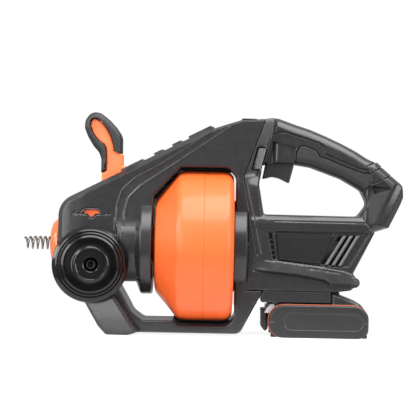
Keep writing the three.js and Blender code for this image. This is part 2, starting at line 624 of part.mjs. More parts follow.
function rearHousing() {
  const grip = cut(slab(REAR_OUTLINE, GRIP_HALF), slab(HAND_OPENING, THROUGH));
  const motor = slab(MOTOR_OUTLINE, BODY_HALF);
  const column = slab(COLUMN_OUTLINE, COLUMN_HALF);
  const shoe = cut(box([155, 230], [-30, 30], [37.4, 50]), box([173, 240], [-24.4, 24.4], [36, 49.2]));
  const rails = [-1, 1].map((side) => box([173, 230], [side * 22 - 2.6, side * 22 + 2.6], [37.4, 40]));
  const outer = cut(join(grip, motor, column, shoe, ...rails), slab(HAND_OPENING, THROUGH));
  const gripInside = slab(inset(REAR_OUTLINE, WALL), GRIP_HALF - WALL);
  const gripCavity = cut(gripInside, slab(inset(HAND_OPENING, -WALL), THROUGH));
  const upper = box([100, 320], [-60, 60], [52.2, 300]);
  const cavities = join(
    gripCavity.intersect(upper),
    slab(inset(MOTOR_OUTLINE, WALL), BODY_HALF - WALL),
    slab(inset(COLUMN_OUTLINE, WALL), COLUMN_HALF - WALL),
  );
  const vents = [...VENTS, FRONT_VENT].map((slot) => slab(slot, THROUGH));
  const room = join(
    slab(inset(FRAME_OUTLINE, -2 * GAP), FRAME_HALF + 5),
    disc(130, 165, GEARBOX_ROOM, 26),
    slab(inset(SELECTOR, -GAP), THROUGH),
    slab(TRIGGER_POCKET, TRIGGER_HALF + 0.5),
    box([175.5, 196.5], [-15.5, 15.5], [48, 58]), // terminal block
  );
  return cut(outer, cavities, ...vents, room);
}

function addRearHousing() {
  const screws = [[289, 158], [262, 122]];
  const widths = [GRIP_HALF, BODY_HALF];
  const posts = screws.map(([x, z], i) => rod([x, 0, z], [x, widths[i] - 1, z], 4.6, 12));
  const bores = screws.map(([x, z], i) => join(
    rod([x, 0, z], [x, THROUGH, z], SCREW_R + GAP),
    rod([x, widths[i] - 6, z], [x, THROUGH, z], 3.8),
  ));
  addHalves("rear_housing", rearHousing(), "blackPlastic", {
    far: (half) => cut(join(half, ...posts), ...bores),
  });
}

// ---------- controls ----------
const TRIGGER_OUTLINE = [
  [154.8, 171], [159, 171.6], [165, 173.4, 6], [172.6, 172, 6], [184, 166.6, 1], [190, 190],
  [189.5, 195], [158, 195], [157.6, 186],
];

function addControls() {
  addPiece("trigger", slab(TRIGGER_OUTLINE, TRIGGER_HALF, 3), "blackPlastic");
  addPiece("direction_selector", slab(SELECTOR, COLUMN_HALF + 1.4, 2), "greyPlastic");
  addPiece("switch_body", box([163, 187], [-9, 9], [210.5, 222]), "blackPlastic");
  const push = new THREE.Vector3(Math.sin(TRIGGER_TILT), 0, Math.cos(TRIGGER_TILT));
  const springSize = { turns: 4, pitch: 3.1, r: 3.2, wire: 0.5, steps: 8, sides: 3 };
  addPiece("trigger_spring", coilSpring(new THREE.Vector3(173, 0, 196.2), push, springSize), "steel");
}

// ---------- battery ----------
const { left: LEFT, right: RIGHT, top: TOP } = BATTERY;
const STADIUM = [[LEFT + 5, 0, 16], [RIGHT - 1, 0, 12], [RIGHT - 1, TOP, 17], [LEFT + 5, TOP, 18]];
const HUMP = [
  [230.6, 20], [230.6, 48.2, 1], [234, 48.2, 2], [262, 37.5, 12], [RIGHT, 25, 12], [RIGHT, 4, 6],
  [262, 1], [240, 3],
];

function addBattery() {
  const { half, coreHalf, trim } = BATTERY;
  const tower = join(box([176, 231], [-23.8, 23.8], [40.4, 48.6]), box([176, 231], [-19, 19], [30, 41]));
  const pad = box([190, 250], [-24, 24], [0, 4]);
  const core = join(slab(inset(STADIUM, 0.8), coreHalf), slab(HUMP, 30), tower, pad);
  const cells = box([172, 267], [-31.3, 31.3], [3.5, 23.5]);
  const terminalSlots = [-12, -4, 4, 12].map((y) => box([174, 190], [y - 1, y + 1], [42, 50]));
  const towerBay = box([180, 226], [-17, 17], [20, 45.5]);
  const bay = join(cells, towerBay, box([LEFT, LEFT + 16], [-14.4, 14.4], [6, 34]));
  const loose = box([LEFT + 3, LEFT + 10], [-14.4, 14.4], [30, 40]);
  addPiece("battery_core_case", cut(core, bay, loose, ...terminalSlots), "blackPlastic");
  for (const [side, sign] of [["near", -1], ["far", 1]]) {
    const at = (a, b) => [sign * a, sign * b].sort((p, q) => p - q);
    const trimPlate = plate(inset(STADIUM, 0.3), ...at(coreHalf + GAP, coreHalf + GAP + trim));
    addPiece(`battery_trim_${side}`, trimPlate, "orange");
    const capPlate = plate(STADIUM, ...at(coreHalf + 2 * GAP + trim, half));
    addPiece(`battery_side_cap_${side}`, capPlate, "greyPlastic");
  }
  const cellR = 9.1;
  const pack = [0, 1, 2, 3, 4].map((i) => {
    const x = 172.6 + cellR + i * 18.3;
    return rod([x, -30, 13.2], [x, 30, 13.2], cellR, 14);
  });
  const strap = box([174, 264], [-31, 31], [11, 15.4]);
  addPiece("battery_cell_pack", join(...pack, strap), "cell");
  const blades = [-12, -4, 4, 12].map((y) => box([177, 188], [y - 0.4, y + 0.4], [43, 51]));
  const block = join(box([176, 196], [-15, 15], [50.2, 55]), box([173, 199], [-18, 18], [53, 56]));
  addPiece("terminal_block", join(block, ...blades), "brass");
  const pusher = box([LEFT - 1.4, LEFT + 5], [-14, 14], [7, 30]);
  const latch = box([LEFT + 3.6, LEFT + 9], [-14, 14], [24, 33.5]);
  addPiece("battery_release_button", join(pusher, latch), "blackPlastic");
}

// ---------- soft grip ----------
const OVERMOLD = [
  [192, 184.6], [207, 181.6, 20], [240, 170.2, 20], [262, 158.5, 6], [270, 165], [274, 172],
  [255, 183, 10], [212, 199, 4], [206, 208, 4], [192, 212, 4], [190, 200],
];

function addGripOvermold() {
  const skin = slab(OVERMOLD, GRIP_HALF + 1.8);
  const core = cut(slab(inset(REAR_OUTLINE, -GAP), GRIP_HALF + GAP), slab(inset(HAND_OPENING, GAP), THROUGH));
  addPiece("grip_overmold", cut(skin, core), "rubber");
}

addFrame();
addFrontFoot();
addNose();
addRollerFeed();
addLever();
addSideHandle();
addDrum();
addBearings();
addCable();
addGearbox();
addRearHousing();
addControls();
addBattery();
addGripOvermold();

export default machine;
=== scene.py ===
import json
import math

import bmesh
import bpy
import numpy as np
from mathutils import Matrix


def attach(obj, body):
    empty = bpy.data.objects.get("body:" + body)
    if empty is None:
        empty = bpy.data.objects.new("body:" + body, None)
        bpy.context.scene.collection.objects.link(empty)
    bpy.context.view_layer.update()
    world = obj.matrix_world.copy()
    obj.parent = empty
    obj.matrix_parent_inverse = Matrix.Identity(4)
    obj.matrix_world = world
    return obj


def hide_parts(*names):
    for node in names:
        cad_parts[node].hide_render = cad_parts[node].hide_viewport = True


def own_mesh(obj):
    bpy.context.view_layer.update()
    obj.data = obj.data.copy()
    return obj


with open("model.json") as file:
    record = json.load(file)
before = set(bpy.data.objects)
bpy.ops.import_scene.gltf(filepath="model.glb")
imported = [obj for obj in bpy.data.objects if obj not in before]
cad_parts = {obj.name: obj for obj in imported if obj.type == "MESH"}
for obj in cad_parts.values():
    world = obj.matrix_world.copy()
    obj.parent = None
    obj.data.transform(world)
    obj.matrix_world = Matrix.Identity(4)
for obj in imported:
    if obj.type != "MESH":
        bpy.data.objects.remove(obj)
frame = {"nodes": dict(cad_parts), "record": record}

import openvdb
from mathutils import Matrix, Vector

# Lengths are in millimetres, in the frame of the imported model, until a mesh is made.
# x runs from the cable outlet to the rear handle, z is up, and a is the distance from the middle plane.

MM = 0.001
AXIS_Z = 96.5  # height of the drum, cable and motor axis
SPLIT = 0.15  # half of the gap between the two halves of the housing
WALL = 3.0
FRAME_HALF, NOSE_HALF, BODY_HALF, COLUMN_HALF, GRIP_HALF = 32.0, 36.0, 33.0, 26.0, 17.0
STEP = 0.55  # cell size of the modelling grids of the large pieces
FINE_STEP, FINER_STEP = 0.5, 0.4  # cell sizes for the small pieces
FAR_AWAY = 1e9
STRAIGHT = 1.56  # a corner of which half is more than this angle is left as it is
SIDES = (("near", -1), ("far", 1))  # a half of the machine and the sign of its y

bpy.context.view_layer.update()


# ---------- fields: distance to a surface over a grid of cells, negative inside ----------
class Grid:
    def __init__(self, x, a, z, step=STEP):
        self.low = np.array([x[0], a[0], z[0]], np.float32)
        self.step = step
        sizes = [int((hi - lo) / step) + 2 for lo, hi in (x, a, z)]
        axes = [lo + step * np.arange(n, dtype=np.float32) for lo, n in zip(self.low, sizes)]
        self.x = axes[0][:, None, None]
        self.a = axes[1][None, :, None]
        self.z = axes[2][None, None, :]


def rounded(points, pieces=8):
    """An outline of [x, z, corner radius] as a plain list of points."""
    corners = np.array([p[:2] for p in points], float)
    out = []
    for i, corner in enumerate(corners):
        radius = points[i][2] if len(points[i]) > 2 else 0
        u, v = corners[i - 1] - corner, corners[(i + 1) % len(corners)] - corner
        room = min(np.linalg.norm(u), np.linalg.norm(v)) / 2
        u, v = u / np.linalg.norm(u), v / np.linalg.norm(v)
        half = math.acos(float(np.clip(u @ v, -1, 1))) / 2
        if radius <= 0 or half > STRAIGHT:
            out.append(corner)
            continue
        back = min(radius / math.tan(half), room)
        radius = back * math.tan(half)
        middle = corner + (u + v) / np.linalg.norm(u + v) * radius / math.sin(half)
        first, last = corner + u * back - middle, corner + v * back - middle
        start = math.atan2(first[1], first[0])
        turn = (math.atan2(last[1], last[0]) - start + math.pi) % (2 * math.pi) - math.pi
        for k in range(pieces + 1):
            t = start + turn * k / pieces
            out.append(middle + radius * np.array([math.cos(t), math.sin(t)]))
    return np.array(out)


def edge_distance(p, q, x, z):
    """Squared distance to the line from p to q."""
    e = q - p
    px, pz = x - p[0], z - p[1]
    t = np.clip((px * e[0] + pz * e[1]) / max(e @ e, 1e-9), 0, 1)
    return (px - e[0] * t) ** 2 + (pz - e[1] * t) ** 2


def region(points, x, z):
    """Distance to an outline, negative inside."""
    pts = rounded(points)
    best = np.full(np.broadcast(x, z).shape, FAR_AWAY, np.float32)
    inside = np.zeros(best.shape, bool)
    for p, q in zip(pts, np.roll(pts, -1, 0)):
        best = np.minimum(best, edge_distance(p, q, x, z))
        if p[1] != q[1]:
            crossing = p[0] + (z - p[1]) * (q[0] - p[0]) / (q[1] - p[1])
            inside ^= ((p[1] <= z) != (q[1] <= z)) & (x < crossing)
    return np.where(inside, -1, 1) * np.sqrt(best)


def stroke(points, x, z, half):
    """Distance to a line of that half width through the points."""
    pts = np.array([p[:2] for p in points], float)
    best = FAR_AWAY
    for p, q in zip(pts[:-1], pts[1:]):
        best = np.minimum(best, edge_distance(p, q, x, z))
    return np.sqrt(best) - half


def meet(p, q, r=0.0):
    """What is inside both, with the edge between them rounded by r."""
    if r <= 0:
        return np.maximum(p, q)
    return np.minimum(np.maximum(p, q), -r) + np.hypot(np.maximum(p + r, 0), np.maximum(q + r, 0))


def bevel(p, q, c, slope=1.0):
    """What is inside both, with a flat chamfer: c deep in q and c * slope deep in p."""
    return np.maximum(np.maximum(p, q), (p + slope * (q + c)) / math.hypot(1, slope))


def join(p, q, r=0.0):
    """What is inside either, with a fillet of radius r between them."""
    if r <= 0:
        return np.minimum(p, q)
    return np.maximum(np.minimum(p, q), r) - np.hypot(np.maximum(r - p, 0), np.maximum(r - q, 0))


def beyond(line, x, z):
    """Distance past a straight line, negative before it."""
    (px, pz), (qx, qz) = line
    return ((pz - qz) * (x - px) + (qx - px) * (z - pz)) / math.hypot(qx - px, qz - pz)


def without(p, q, r=0.0):
    return meet(p, -q, r)


def carve(body, mark, depth):
    """Sinks the marked part of a surface by depth."""
    return without(body, np.maximum(mark, -(body + depth)), 0.2)


def raised(body, mark, height):
    """Lifts the marked part of a surface by height."""
    return np.minimum(body, meet(mark, body - height, 0.4))


def ease(t):
    t = np.clip(t, 0, 1)
    return t * t * (3 - 2 * t)


def cuboid(g, x, a, z, r=0.0):
    dx = np.maximum(x[0] - g.x, g.x - x[1])
    da = np.maximum(a[0] - g.a, g.a - a[1])
    dz = np.maximum(z[0] - g.z, g.z - z[1])
    return meet(meet(dx, dz, r), da, r)


def cylinder_y(g, x, z, radius, a):
    side = np.hypot(g.x - x, g.z - z) - radius
    return meet(side, np.maximum(a[0] - g.a, g.a - a[1]))


def cylinder_x(g, x, radius, z=AXIS_Z):
    side = np.hypot(g.a, g.z - z) - radius
    return meet(side, np.maximum(x[0] - g.x, g.x - x[1]))


def along(g, base, direction):
    """(distance along a tilted line, distance from it), in a grid that stands for the near half."""
    px, py, pz = g.x - base[0], -g.a - base[1], g.z - base[2]
    s = px * direction[0] + py * direction[1] + pz * direction[2]
    return s, np.sqrt(np.maximum(px**2 + py**2 + pz**2 - s**2, 0))


# ---------- meshes ----------
def in_scene(name, mesh):
    mesh.shade_smooth()
    obj = bpy.data.objects.new(name, mesh)
    bpy.context.scene.collection.objects.link(obj)
    return obj


def make_mesh(name, points, faces):
    mesh = bpy.data.meshes.new(name)
    mesh.from_pydata(np.asarray(points).tolist(), [], faces)
    mesh.validate()
    mesh.update()
    return in_scene(name, mesh)


def weigh_normals(obj):
    """Shades flat faces flat up to their rounded edges."""
    obj.modifiers.new("normals", "WEIGHTED_NORMAL").keep_sharp = False
    return obj


def skin(name, g, field, side):
    """The surface of a field as a mesh, on the side of the middle plane that SIDES gives."""
    full = np.broadcast_to(field, np.broadcast(g.x, g.a, g.z).shape)
    reach = 3 * g.step
    box = np.full([n + 2 for n in full.shape], reach, np.float32)
    box[1:-1, 1:-1, 1:-1] = np.clip(full, -reach, reach)
    vol = openvdb.FloatGrid(reach)
    vol.copyFromArray(box, tolerance=0.0)
    points, tris, quads = vol.convertToPolygons(isovalue=0.0, adaptivity=0.03)
    points = (points - 1) * g.step + g.low
    points[:, 1] *= side
    flip = -1 if side > 0 else 1
    faces = [f[::flip] for f in quads.tolist()] + [f[::flip] for f in tris.tolist()]
    return weigh_normals(make_mesh(name, points * MM, faces))


def joined(name, parts):
    """Several meshes as one piece."""
    bm = bmesh.new()
    for part in parts:
        bm.from_mesh(part.data)
    bmesh.ops.remove_doubles(bm, verts=bm.verts, dist=1e-5)
    mesh = bpy.data.meshes.new(name)
    bm.to_mesh(mesh)
    bm.free()
    for part in parts:
        bpy.data.objects.remove(part)
    return weigh_normals(in_scene(name, mesh))


def both_halves(name, g, field):
    """The surface of a field and its mirror image as one piece."""
    return joined(name, [skin(f"{name}_{half}", g, np.maximum(field, -g.a), side) for half, side in SIDES])


def spun(name, profile, turns=128, start=(0, 0, AXIS_Z), direction=(1, 0, 0)):
    """A mesh turned from [along, radius, corner radius] points about a line."""
    pts = rounded(profile, 5)
    n = len(pts)
    angle = np.linspace(0, 2 * math.pi, turns, endpoint=False)
    ring = np.stack([np.cos(angle), np.sin(angle)])
    local = np.zeros((turns, n, 3))
    local[:, :, 0] = pts[None, :, 0]
    local[:, :, 1] = ring[0][:, None] * pts[None, :, 1]
    local[:, :, 2] = ring[1][:, None] * pts[None, :, 1]
    turn = Vector((1, 0, 0)).rotation_difference(Vector(direction)).to_matrix()
    world = local.reshape(-1, 3) @ np.array(turn).T + np.array(start)
    faces = []
    for i in range(turns):
        j = (i + 1) % turns
        for k in range(n):
            m = (k + 1) % n
            faces.append((i * n + k, i * n + m, j * n + m, j * n + k))
    return clean(make_mesh(name, world * MM, faces))


def clean(obj):
    """Merges points that fell together and turns every face outwards."""
    bm = bmesh.new()
    bm.from_mesh(obj.data)
    bmesh.ops.remove_doubles(bm, verts=bm.verts, dist=1e-6)
    bmesh.ops.recalc_face_normals(bm, faces=bm.faces)
    bm.to_mesh(obj.data)
    bm.free()
    return weigh_normals(obj)


def swept(name, path, radius, sides):
    """A round wire along a list of points."""
    tangent = np.gradient(path, axis=0)
    tangent /= np.linalg.norm(tangent, axis=1)[:, None]
    normal = np.cross(tangent[0], [0.3, 0.2, 0.93])
    rings = []
    for p, t in zip(path, tangent):
        normal = normal - t * (normal @ t)
        normal /= np.linalg.norm(normal)
        other = np.cross(t, normal)
        a = np.linspace(0, 2 * math.pi, sides, endpoint=False)
        rings.append(p + radius * (np.cos(a)[:, None] * normal + np.sin(a)[:, None] * other))
    points = np.concatenate(rings)
    faces = []
    for i in range(len(path) - 1):
        for k in range(sides):
            m = (k + 1) % sides
            faces.append((i * sides + k, i * sides + m, (i + 1) * sides + m, (i + 1) * sides + k))
    faces.append(tuple(range(sides))[::-1])
    faces.append(tuple((len(path) - 1) * sides + k for k in range(sides)))
    return clean(make_mesh(name, points * MM, faces))


# ---------- materials ----------
MATERIALS = {}


def finish(name, dark, light, rough, metal=0.0, coat=0.0, grain=0.0, grain_size=0.35, cloud=6.0, spec=0.5):
    """A material whose colour, roughness and surface vary: grain is the bump's strength, sizes are in mm."""
    mat = MATERIALS[name] = bpy.data.materials.new(name)
    mat.use_nodes = True
    nodes, links = mat.node_tree.nodes, mat.node_tree.links
    shader = nodes["Principled BSDF"]
    shader.inputs["Metallic"].default_value = metal
    shader.inputs["Coat Weight"].default_value = coat
    shader.inputs["Coat Roughness"].default_value = 0.12
    shader.inputs["Specular IOR Level"].default_value = spec
    where = nodes.new("ShaderNodeTexCoord").outputs["Object"]

    def noise(size, detail=3.0):
        node = nodes.new("ShaderNodeTexNoise")
        node.inputs["Scale"].default_value = 1 / (size * MM)
        node.inputs["Detail"].default_value = detail
        links.new(where, node.inputs["Vector"])
        return node.outputs["Fac"]

    tint = nodes.new("ShaderNodeValToRGB")
    for stop, position, colour in zip(tint.color_ramp.elements, (0.3, 0.7), (dark, light)):
        stop.position, stop.color = position, (*colour, 1)
    links.new(noise(cloud), tint.inputs["Fac"])
    links.new(tint.outputs["Color"], shader.inputs["Base Color"])
    spread = nodes.new("ShaderNodeMapRange")
    spread.inputs["To Min"].default_value, spread.inputs["To Max"].default_value = rough
    links.new(noise(grain_size * 4), spread.inputs["Value"])
    links.new(spread.outputs["Result"], shader.inputs["Roughness"])
    if grain > 0:
        bump = nodes.new("ShaderNodeBump")
        bump.inputs["Strength"].default_value = grain
        bump.inputs["Distance"].default_value = 0.0002
        links.new(noise(grain_size, 2.0), bump.inputs["Height"])
        links.new(bump.outputs["Normal"], shader.inputs["Normal"])


finish("black_housing", (0.0185, 0.018, 0.0192), (0.024, 0.0234, 0.025), (0.2, 0.29), grain=0.07)
finish("grey_moulding", (0.017, 0.0166, 0.0178), (0.022, 0.0214, 0.023), (0.2, 0.28), grain=0.04, cloud=14)
finish("orange_moulding", (0.84, 0.118, 0.021), (0.88, 0.132, 0.025), (0.4, 0.48),
       coat=0.2, cloud=25, spec=0.4)
# painted highlight: a lighter copy of the orange moulding, for the soft highlight on the feed lever
finish("painted_highlight_orange", (0.85, 0.17, 0.055), (0.89, 0.2, 0.07), (0.4, 0.5), cloud=12, spec=0.45)
finish("bezel_orange", (0.8, 0.15, 0.035), (0.86, 0.17, 0.042), (0.22, 0.3), coat=0.6, cloud=20)
finish("black_rubber", (0.014, 0.014, 0.0145), (0.02, 0.0197, 0.02), (0.42, 0.56), grain=0.3, grain_size=0.5)
finish("spring_steel", (0.5, 0.5, 0.51), (0.66, 0.66, 0.67), (0.2, 0.34), metal=1.0, cloud=2)
finish("dark_steel", (0.08, 0.08, 0.085), (0.13, 0.13, 0.135), (0.3, 0.45), metal=0.9, cloud=4)
finish("brass", (0.6, 0.42, 0.18), (0.72, 0.53, 0.26), (0.25, 0.4), metal=1.0, cloud=4)
finish("copper", (0.55, 0.24, 0.11), (0.68, 0.34, 0.18), (0.3, 0.45), metal=1.0, cloud=1.0)
finish("plate_grain", (0.006, 0.006, 0.0062), (0.009, 0.009, 0.0092), (0.5, 0.65),
       grain=0.3, grain_size=0.6, spec=0.25)
# painted highlight: a lighter grey for the louvre bars, which are black housing plastic catching the light
finish("painted_highlight_grey", (0.085, 0.084, 0.086), (0.105, 0.103, 0.106), (0.25, 0.35), cloud=6)
finish("cap_grey", (0.0145, 0.0141, 0.015), (0.019, 0.0185, 0.0196), (0.28, 0.38), grain=0.1, cloud=14)
# painted shade: a darkened copy of the orange moulding, for the battery's recessed trim line
finish("painted_shade_orange", (0.3, 0.055, 0.017), (0.36, 0.068, 0.021), (0.4, 0.5), cloud=10)
# painted shade: a darker copy of the black housing, for the side handle's shadowed hollow end and the front
# vent's floor
finish("painted_shade_black", (0.0035, 0.0035, 0.0037), (0.0055, 0.0054, 0.0057), (0.13, 0.2), grain=0.03, spec=0.4)
finish("pale_moulding", (0.42, 0.42, 0.43), (0.52, 0.515, 0.52), (0.4, 0.5), cloud=5)
finish("worn_steel", (0.13, 0.125, 0.12), (0.3, 0.29, 0.28), (0.3, 0.45), metal=0.95, cloud=2)
finish("drilled_steel", (0.03, 0.03, 0.031), (0.07, 0.07, 0.072), (0.25, 0.4), metal=0.9, cloud=2)
finish("cell_can", (0.12, 0.3, 0.24), (0.18, 0.4, 0.33), (0.4, 0.55), cloud=8)


def dress(obj, slot, body, *nodes, material=None):
    """Gives a piece its material, its body and the CAD nodes that it stands for."""
    obj.data.materials.clear()
    obj.data.materials.append(MATERIALS[material or slot])
    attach(obj, body)
    if nodes:
        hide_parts(*nodes)


# ---------- outlines ----------
FRAME_OUTLINE = [
    [-66, 66, 14], [-66, 141.7, 24], [88, 220.4, 20], [131, 234, 8], [156, 235.5], [133.5, 172.5],
    [149, 90], [139.5, 82], [139.5, 49.6], [157, 49.6], [132.5, 2.3, 10], [17, 2.3, 6], [-13, 48],
    [-28, 56], [-50, 56, 10],
]
FRAME_EDGE = FRAME_OUTLINE[:4] + [[205, 238], [205, 142], [132.5, 2.3, 10]] + FRAME_OUTLINE[11:]
WINDOW_OUTLINE = [
    [66, 182, 4], [37, 150, 4], [37, 60], [21, 60], [21, 58], [-3, 58, 2], [16, 24, 14], [27, 16, 8],
    [60, 16.2], [66, 11], [118, 11, 9], [126.5, 20, 9], [126.5, 172.5, 10], [117.5, 182, 10],
]
NOSE_OUTLINE = [[-66, 66, 14], [-66, 141.7, 24], [16, 183.5], [5, 58], [-28, 56], [-50, 56, 10]]
STEP_OUTER = [
    [109.1, 227.4], [91.1, 215.3], [75.2, 204.2], [43.4, 183.2], [16.8, 168.7, 22], [3.1, 155.6, 14],
    [-2, 139.3, 12], [-2.7, 121.1], [-2.4, 106],
]
STEP_INNER = [
    [117.8, 225.4], [85.9, 203.3], [48.8, 177.9], [22.3, 160.2, 12], [10.7, 148.2, 12], [6.7, 134.1, 12],
    [6.2, 106.2],
]
HIGH_SIDE = STEP_OUTER + [[-2, 40], [-90, 40], [-90, 260], [120, 260]]
LOW_BAND = STEP_INNER + [[6, 40], [-90, 40], [-90, 260], [130, 260]]
WINDOW_MARK = [
    [-40, 130], [-36, 134, 3], [-23, 134, 3], [-19, 130], [-26, 129.5], [-29.5, 124.5, 2], [-33, 129.5],
]
TOP_PADS = [(75, 103), (115, 127), (137, 149), (157, 185)]
PAD_HEIGHT, PAD_HALF = 2.2, 24
FRAME_SCREWS = [(60, 194), (126, 222), (36, 9)]
SIDE_BASE = np.array([-28.8, -46, 75.6])
SIDE_LEAN = np.array([9.1, -95, 4]) / math.hypot(9.1, 95, 4)
FAR_BOSS, BOSS_RADIUS = (-29.6, 75.2), 15.0


def frame_halves():
    g = Grid((-71, 161), (-STEP, 47), (-1, 240))
    x, a, z = g.x, g.a, g.z
    outline = region(FRAME_OUTLINE, x, z)
    edge = region(FRAME_EDGE, x, z)
    window = region(WINDOW_OUTLINE, x, z)
    high = region(HIGH_SIDE, x, z)
    band = region(LOW_BAND, x, z)
    # half width of the side: a high plateau over the nose, a shallow groove behind it, then the body
    width = 32.7 + 2.4 * np.clip(-high / 36, 0, 1) - 0.35 * ease(0.5 - band / 1.4) * ease(0.5 + high / 1.4)
    for line in (high, band + 0.2):
        width = width + 0.5 * ease(1.2 - np.abs(line) / 0.9)
    side = a - width
    broad = 2.2 + 2.8 * ease(0.5 - high / 6)
    body = np.maximum(np.maximum(edge, side), (1.6 * edge + side + 1.6 * broad) / math.hypot(1, 1.6))
    ring = np.maximum(np.hypot(a, z - AXIS_Z) - 40.6, np.maximum(np.maximum(-1 - x, x - 19), 60 - z))
    body = join(body, ring, 5)
    body = meet(body, outline, 0.8)
    body = meet(body, -window, 2.2)
    # pads stand on the sloping top: u runs up the slope from the nose and v is the height over it
    (nose_x, nose_z), (top_x, top_z) = FRAME_OUTLINE[1][:2], FRAME_OUTLINE[2][:2]
    slope = np.array([top_x - nose_x, top_z - nose_z]) / math.hypot(top_x - nose_x, top_z - nose_z)
    u = (x - nose_x) * slope[0] + (z - nose_z) * slope[1]
    v = -(x - nose_x) * slope[1] + (z - nose_z) * slope[0]
    for low, high_end in TOP_PADS:
        pad = np.maximum(low - u - 0.4 * (v - PAD_HEIGHT), u - high_end + 0.9 * (v - 1))
        pad = meet(meet(pad, v - PAD_HEIGHT, 0.8), a - PAD_HALF, 1.5)
        body = join(body, meet(pad, -v - 2), 0.6)
    inner = np.maximum(outline + WALL, a - FRAME_HALF + WALL + 1)
    inner = np.maximum(inner, -(window - WALL))
    nose = region(NOSE_OUTLINE, x, z)
    nose_room = np.maximum(np.maximum(nose + WALL, high + WALL), a - NOSE_HALF + WALL + 0.6)
    inner = np.minimum(inner, nose_room)
    shell = without(body, np.maximum(inner, body + 1.1))
    shell = without(shell, cylinder_x(g, (2.6, 37.6), 37.5))
    shell = without(shell, cylinder_x(g, (126, 140), 49))
    shell = without(shell, cylinder_x(g, (139, 162), 26.6))
    shell = without(shell, cylinder_x(g, (-80, -60), 9.5))
    slot = meet(region([[-35, 140], [-35, 175], [26, 205], [26, 160]], x, z), a - 11)
    shell = without(shell, slot, 0.6)
    shell = np.maximum(shell, SPLIT - a)
    # the far half has a blind boss for the side handle
    tube = cylinder_y(g, *FAR_BOSS, BOSS_RADIUS, (30, NOSE_HALF + 9))
    flange = cylinder_y(g, *FAR_BOSS, BOSS_RADIUS + 3, (30, NOSE_HALF + 3))
    far = join(shell, join(tube, flange, 2), 1.5)
    far = without(far, cylinder_y(g, *FAR_BOSS, 5, (28, 60)), 0.8)
    # a web in the far half closes the gap round the drum, but not under the front collar or behind the drum
    drum_radius = np.interp(x, [37, 39.5, 65, 112, 119.5, 124], [49, 52.5, 82, 82, 81.6, 76])
    drum = np.hypot(a, z - AXIS_Z) - drum_radius
    web = np.maximum(window - 1.5, 1.0 - 0.8 * drum)
    web = np.maximum(web, np.maximum(np.maximum(12 - a, a - 30), x - 120.5))
    far = np.minimum(far, without(web, np.maximum(x - 60, z - 62)))
    for px, pz in FRAME_SCREWS:
        far = join(far, cylinder_y(g, px, pz, 5, (SPLIT, 31)))
        far = without(far, cylinder_y(g, px, pz, 4, (26, 60)), 0.5)
        far = without(far, cylinder_y(g, px, pz, 2, (0, 30)))
    # the near half has the boss that the handle is screwed into, and the feed indicator's window
    s, r = along(g, SIDE_BASE, SIDE_LEAN)
    near_boss = np.maximum(r - BOSS_RADIUS, np.maximum(-12.4 - s, s + 1))
    near = join(shell, near_boss, 1.5)
    near = without(near, np.maximum(r - 5.4, -16 - s), 0.5)
    mark = region(WINDOW_MARK, x, z)
    near = without(near, np.maximum(mark, 28 - a), 0.5)
    rim = np.maximum(np.abs(mark - 1.4) - 0.5, width - 0.8 - a)
    near = without(near, rim, 0.3)
    for tip, tail in ((-49.5, -41.5), (-9.5, -16.5)):
        back = tip + np.sign(tail - tip) * 3
        arrow = stroke([[tip, 129.6], [tail, 129.2]], x, z, 0.55)
        head = stroke([[back, 131.4], [tip, 129.6], [back, 127.9]], x, z, 0.5)
        near = without(near, np.maximum(np.minimum(arrow, head), width - 0.7 - a), 0.2)
    dress(skin("frame_half_near", g, near, -1), "black_housing", "frame", "frame_shell_near")
    dress(skin("frame_half_far", g, far, 1), "black_housing", "frame", "frame_shell_far")


def collars():
    front = spun("front_collar", [
        [2, 38], [2, 41, 1], [18.5, 41, 0.5], [19.5, 43, 1], [20.5, 46, 1], [23.5, 53, 1], [25, 54, 0.8],
        [35.2, 54, 0.8], [36.2, 53, 0.6], [36.2, 21.5], [33.3, 21.5], [33.3, 26.3], [23.7, 26.3],
        [23.7, 12], [20, 12], [20, 38],
    ])
    dress(front, "black_housing", "frame")
    rear = spun("rear_collar", [
        [124.7, 44], [124.7, 50, 0.8], [137.5, 50, 0.8], [139, 48.5, 0.6], [139, 18], [137.3, 18],
        [137.3, 24.3], [124.7, 24.3],
    ])
    dress(rear, "black_housing", "frame")


# ---------- front foot ----------
LEG_OUTLINE = [
    [-49, 57], [-36, 36], [-20.5, 10, 6], [-11, 0, 6], [11, 0], [25, 4.5], [19, 12], [-8, 53], [-22, 62],
]


def foot():
    g = Grid((-52, 30), (-STEP, 49), (-1, 64))
    x, a, z = g.x, g.a, g.z
    leg = region(LEG_OUTLINE, x, z)
    flank = a - (43 + 0.13 * (x + 12) - 0.0027 * np.maximum(z - 14, 0) ** 2)
    body = bevel(leg, flank, 3.2, 0.7)
    rim = np.abs(stroke([[-22, 62], [-8, 53], [19, 12], [25, 4.5]], x, z, 3.4)) - 0.4
    body = carve(body, rim, 0.5)
    body = meet(body, -z, 1.2)
    body = np.maximum(body, a - 47)
    frame_room = np.maximum(region(FRAME_OUTLINE, x, z) - 0.3, a - FRAME_HALF - 0.6)
    nose_room = np.maximum(region(NOSE_OUTLINE, x, z) - 0.3, a - NOSE_HALF - 0.3)
    window_room = region([[-3, 58], [16, 24], [27, 16], [60, 16], [60, 70], [-3, 70]], x, z)
    window_room = np.maximum(window_room, a - FRAME_HALF - 0.3)
    for room in (frame_room, nose_room, window_room):
        body = without(body, room)
    body = without(body, cylinder_x(g, (2, 40), 54.8))
    body = without(body, cuboid(g, (-50, 0), (-60, 60), (58, 100)))
    dress(both_halves("front_foot_cover", g, body), "grey_moulding", "frame", "front_foot")


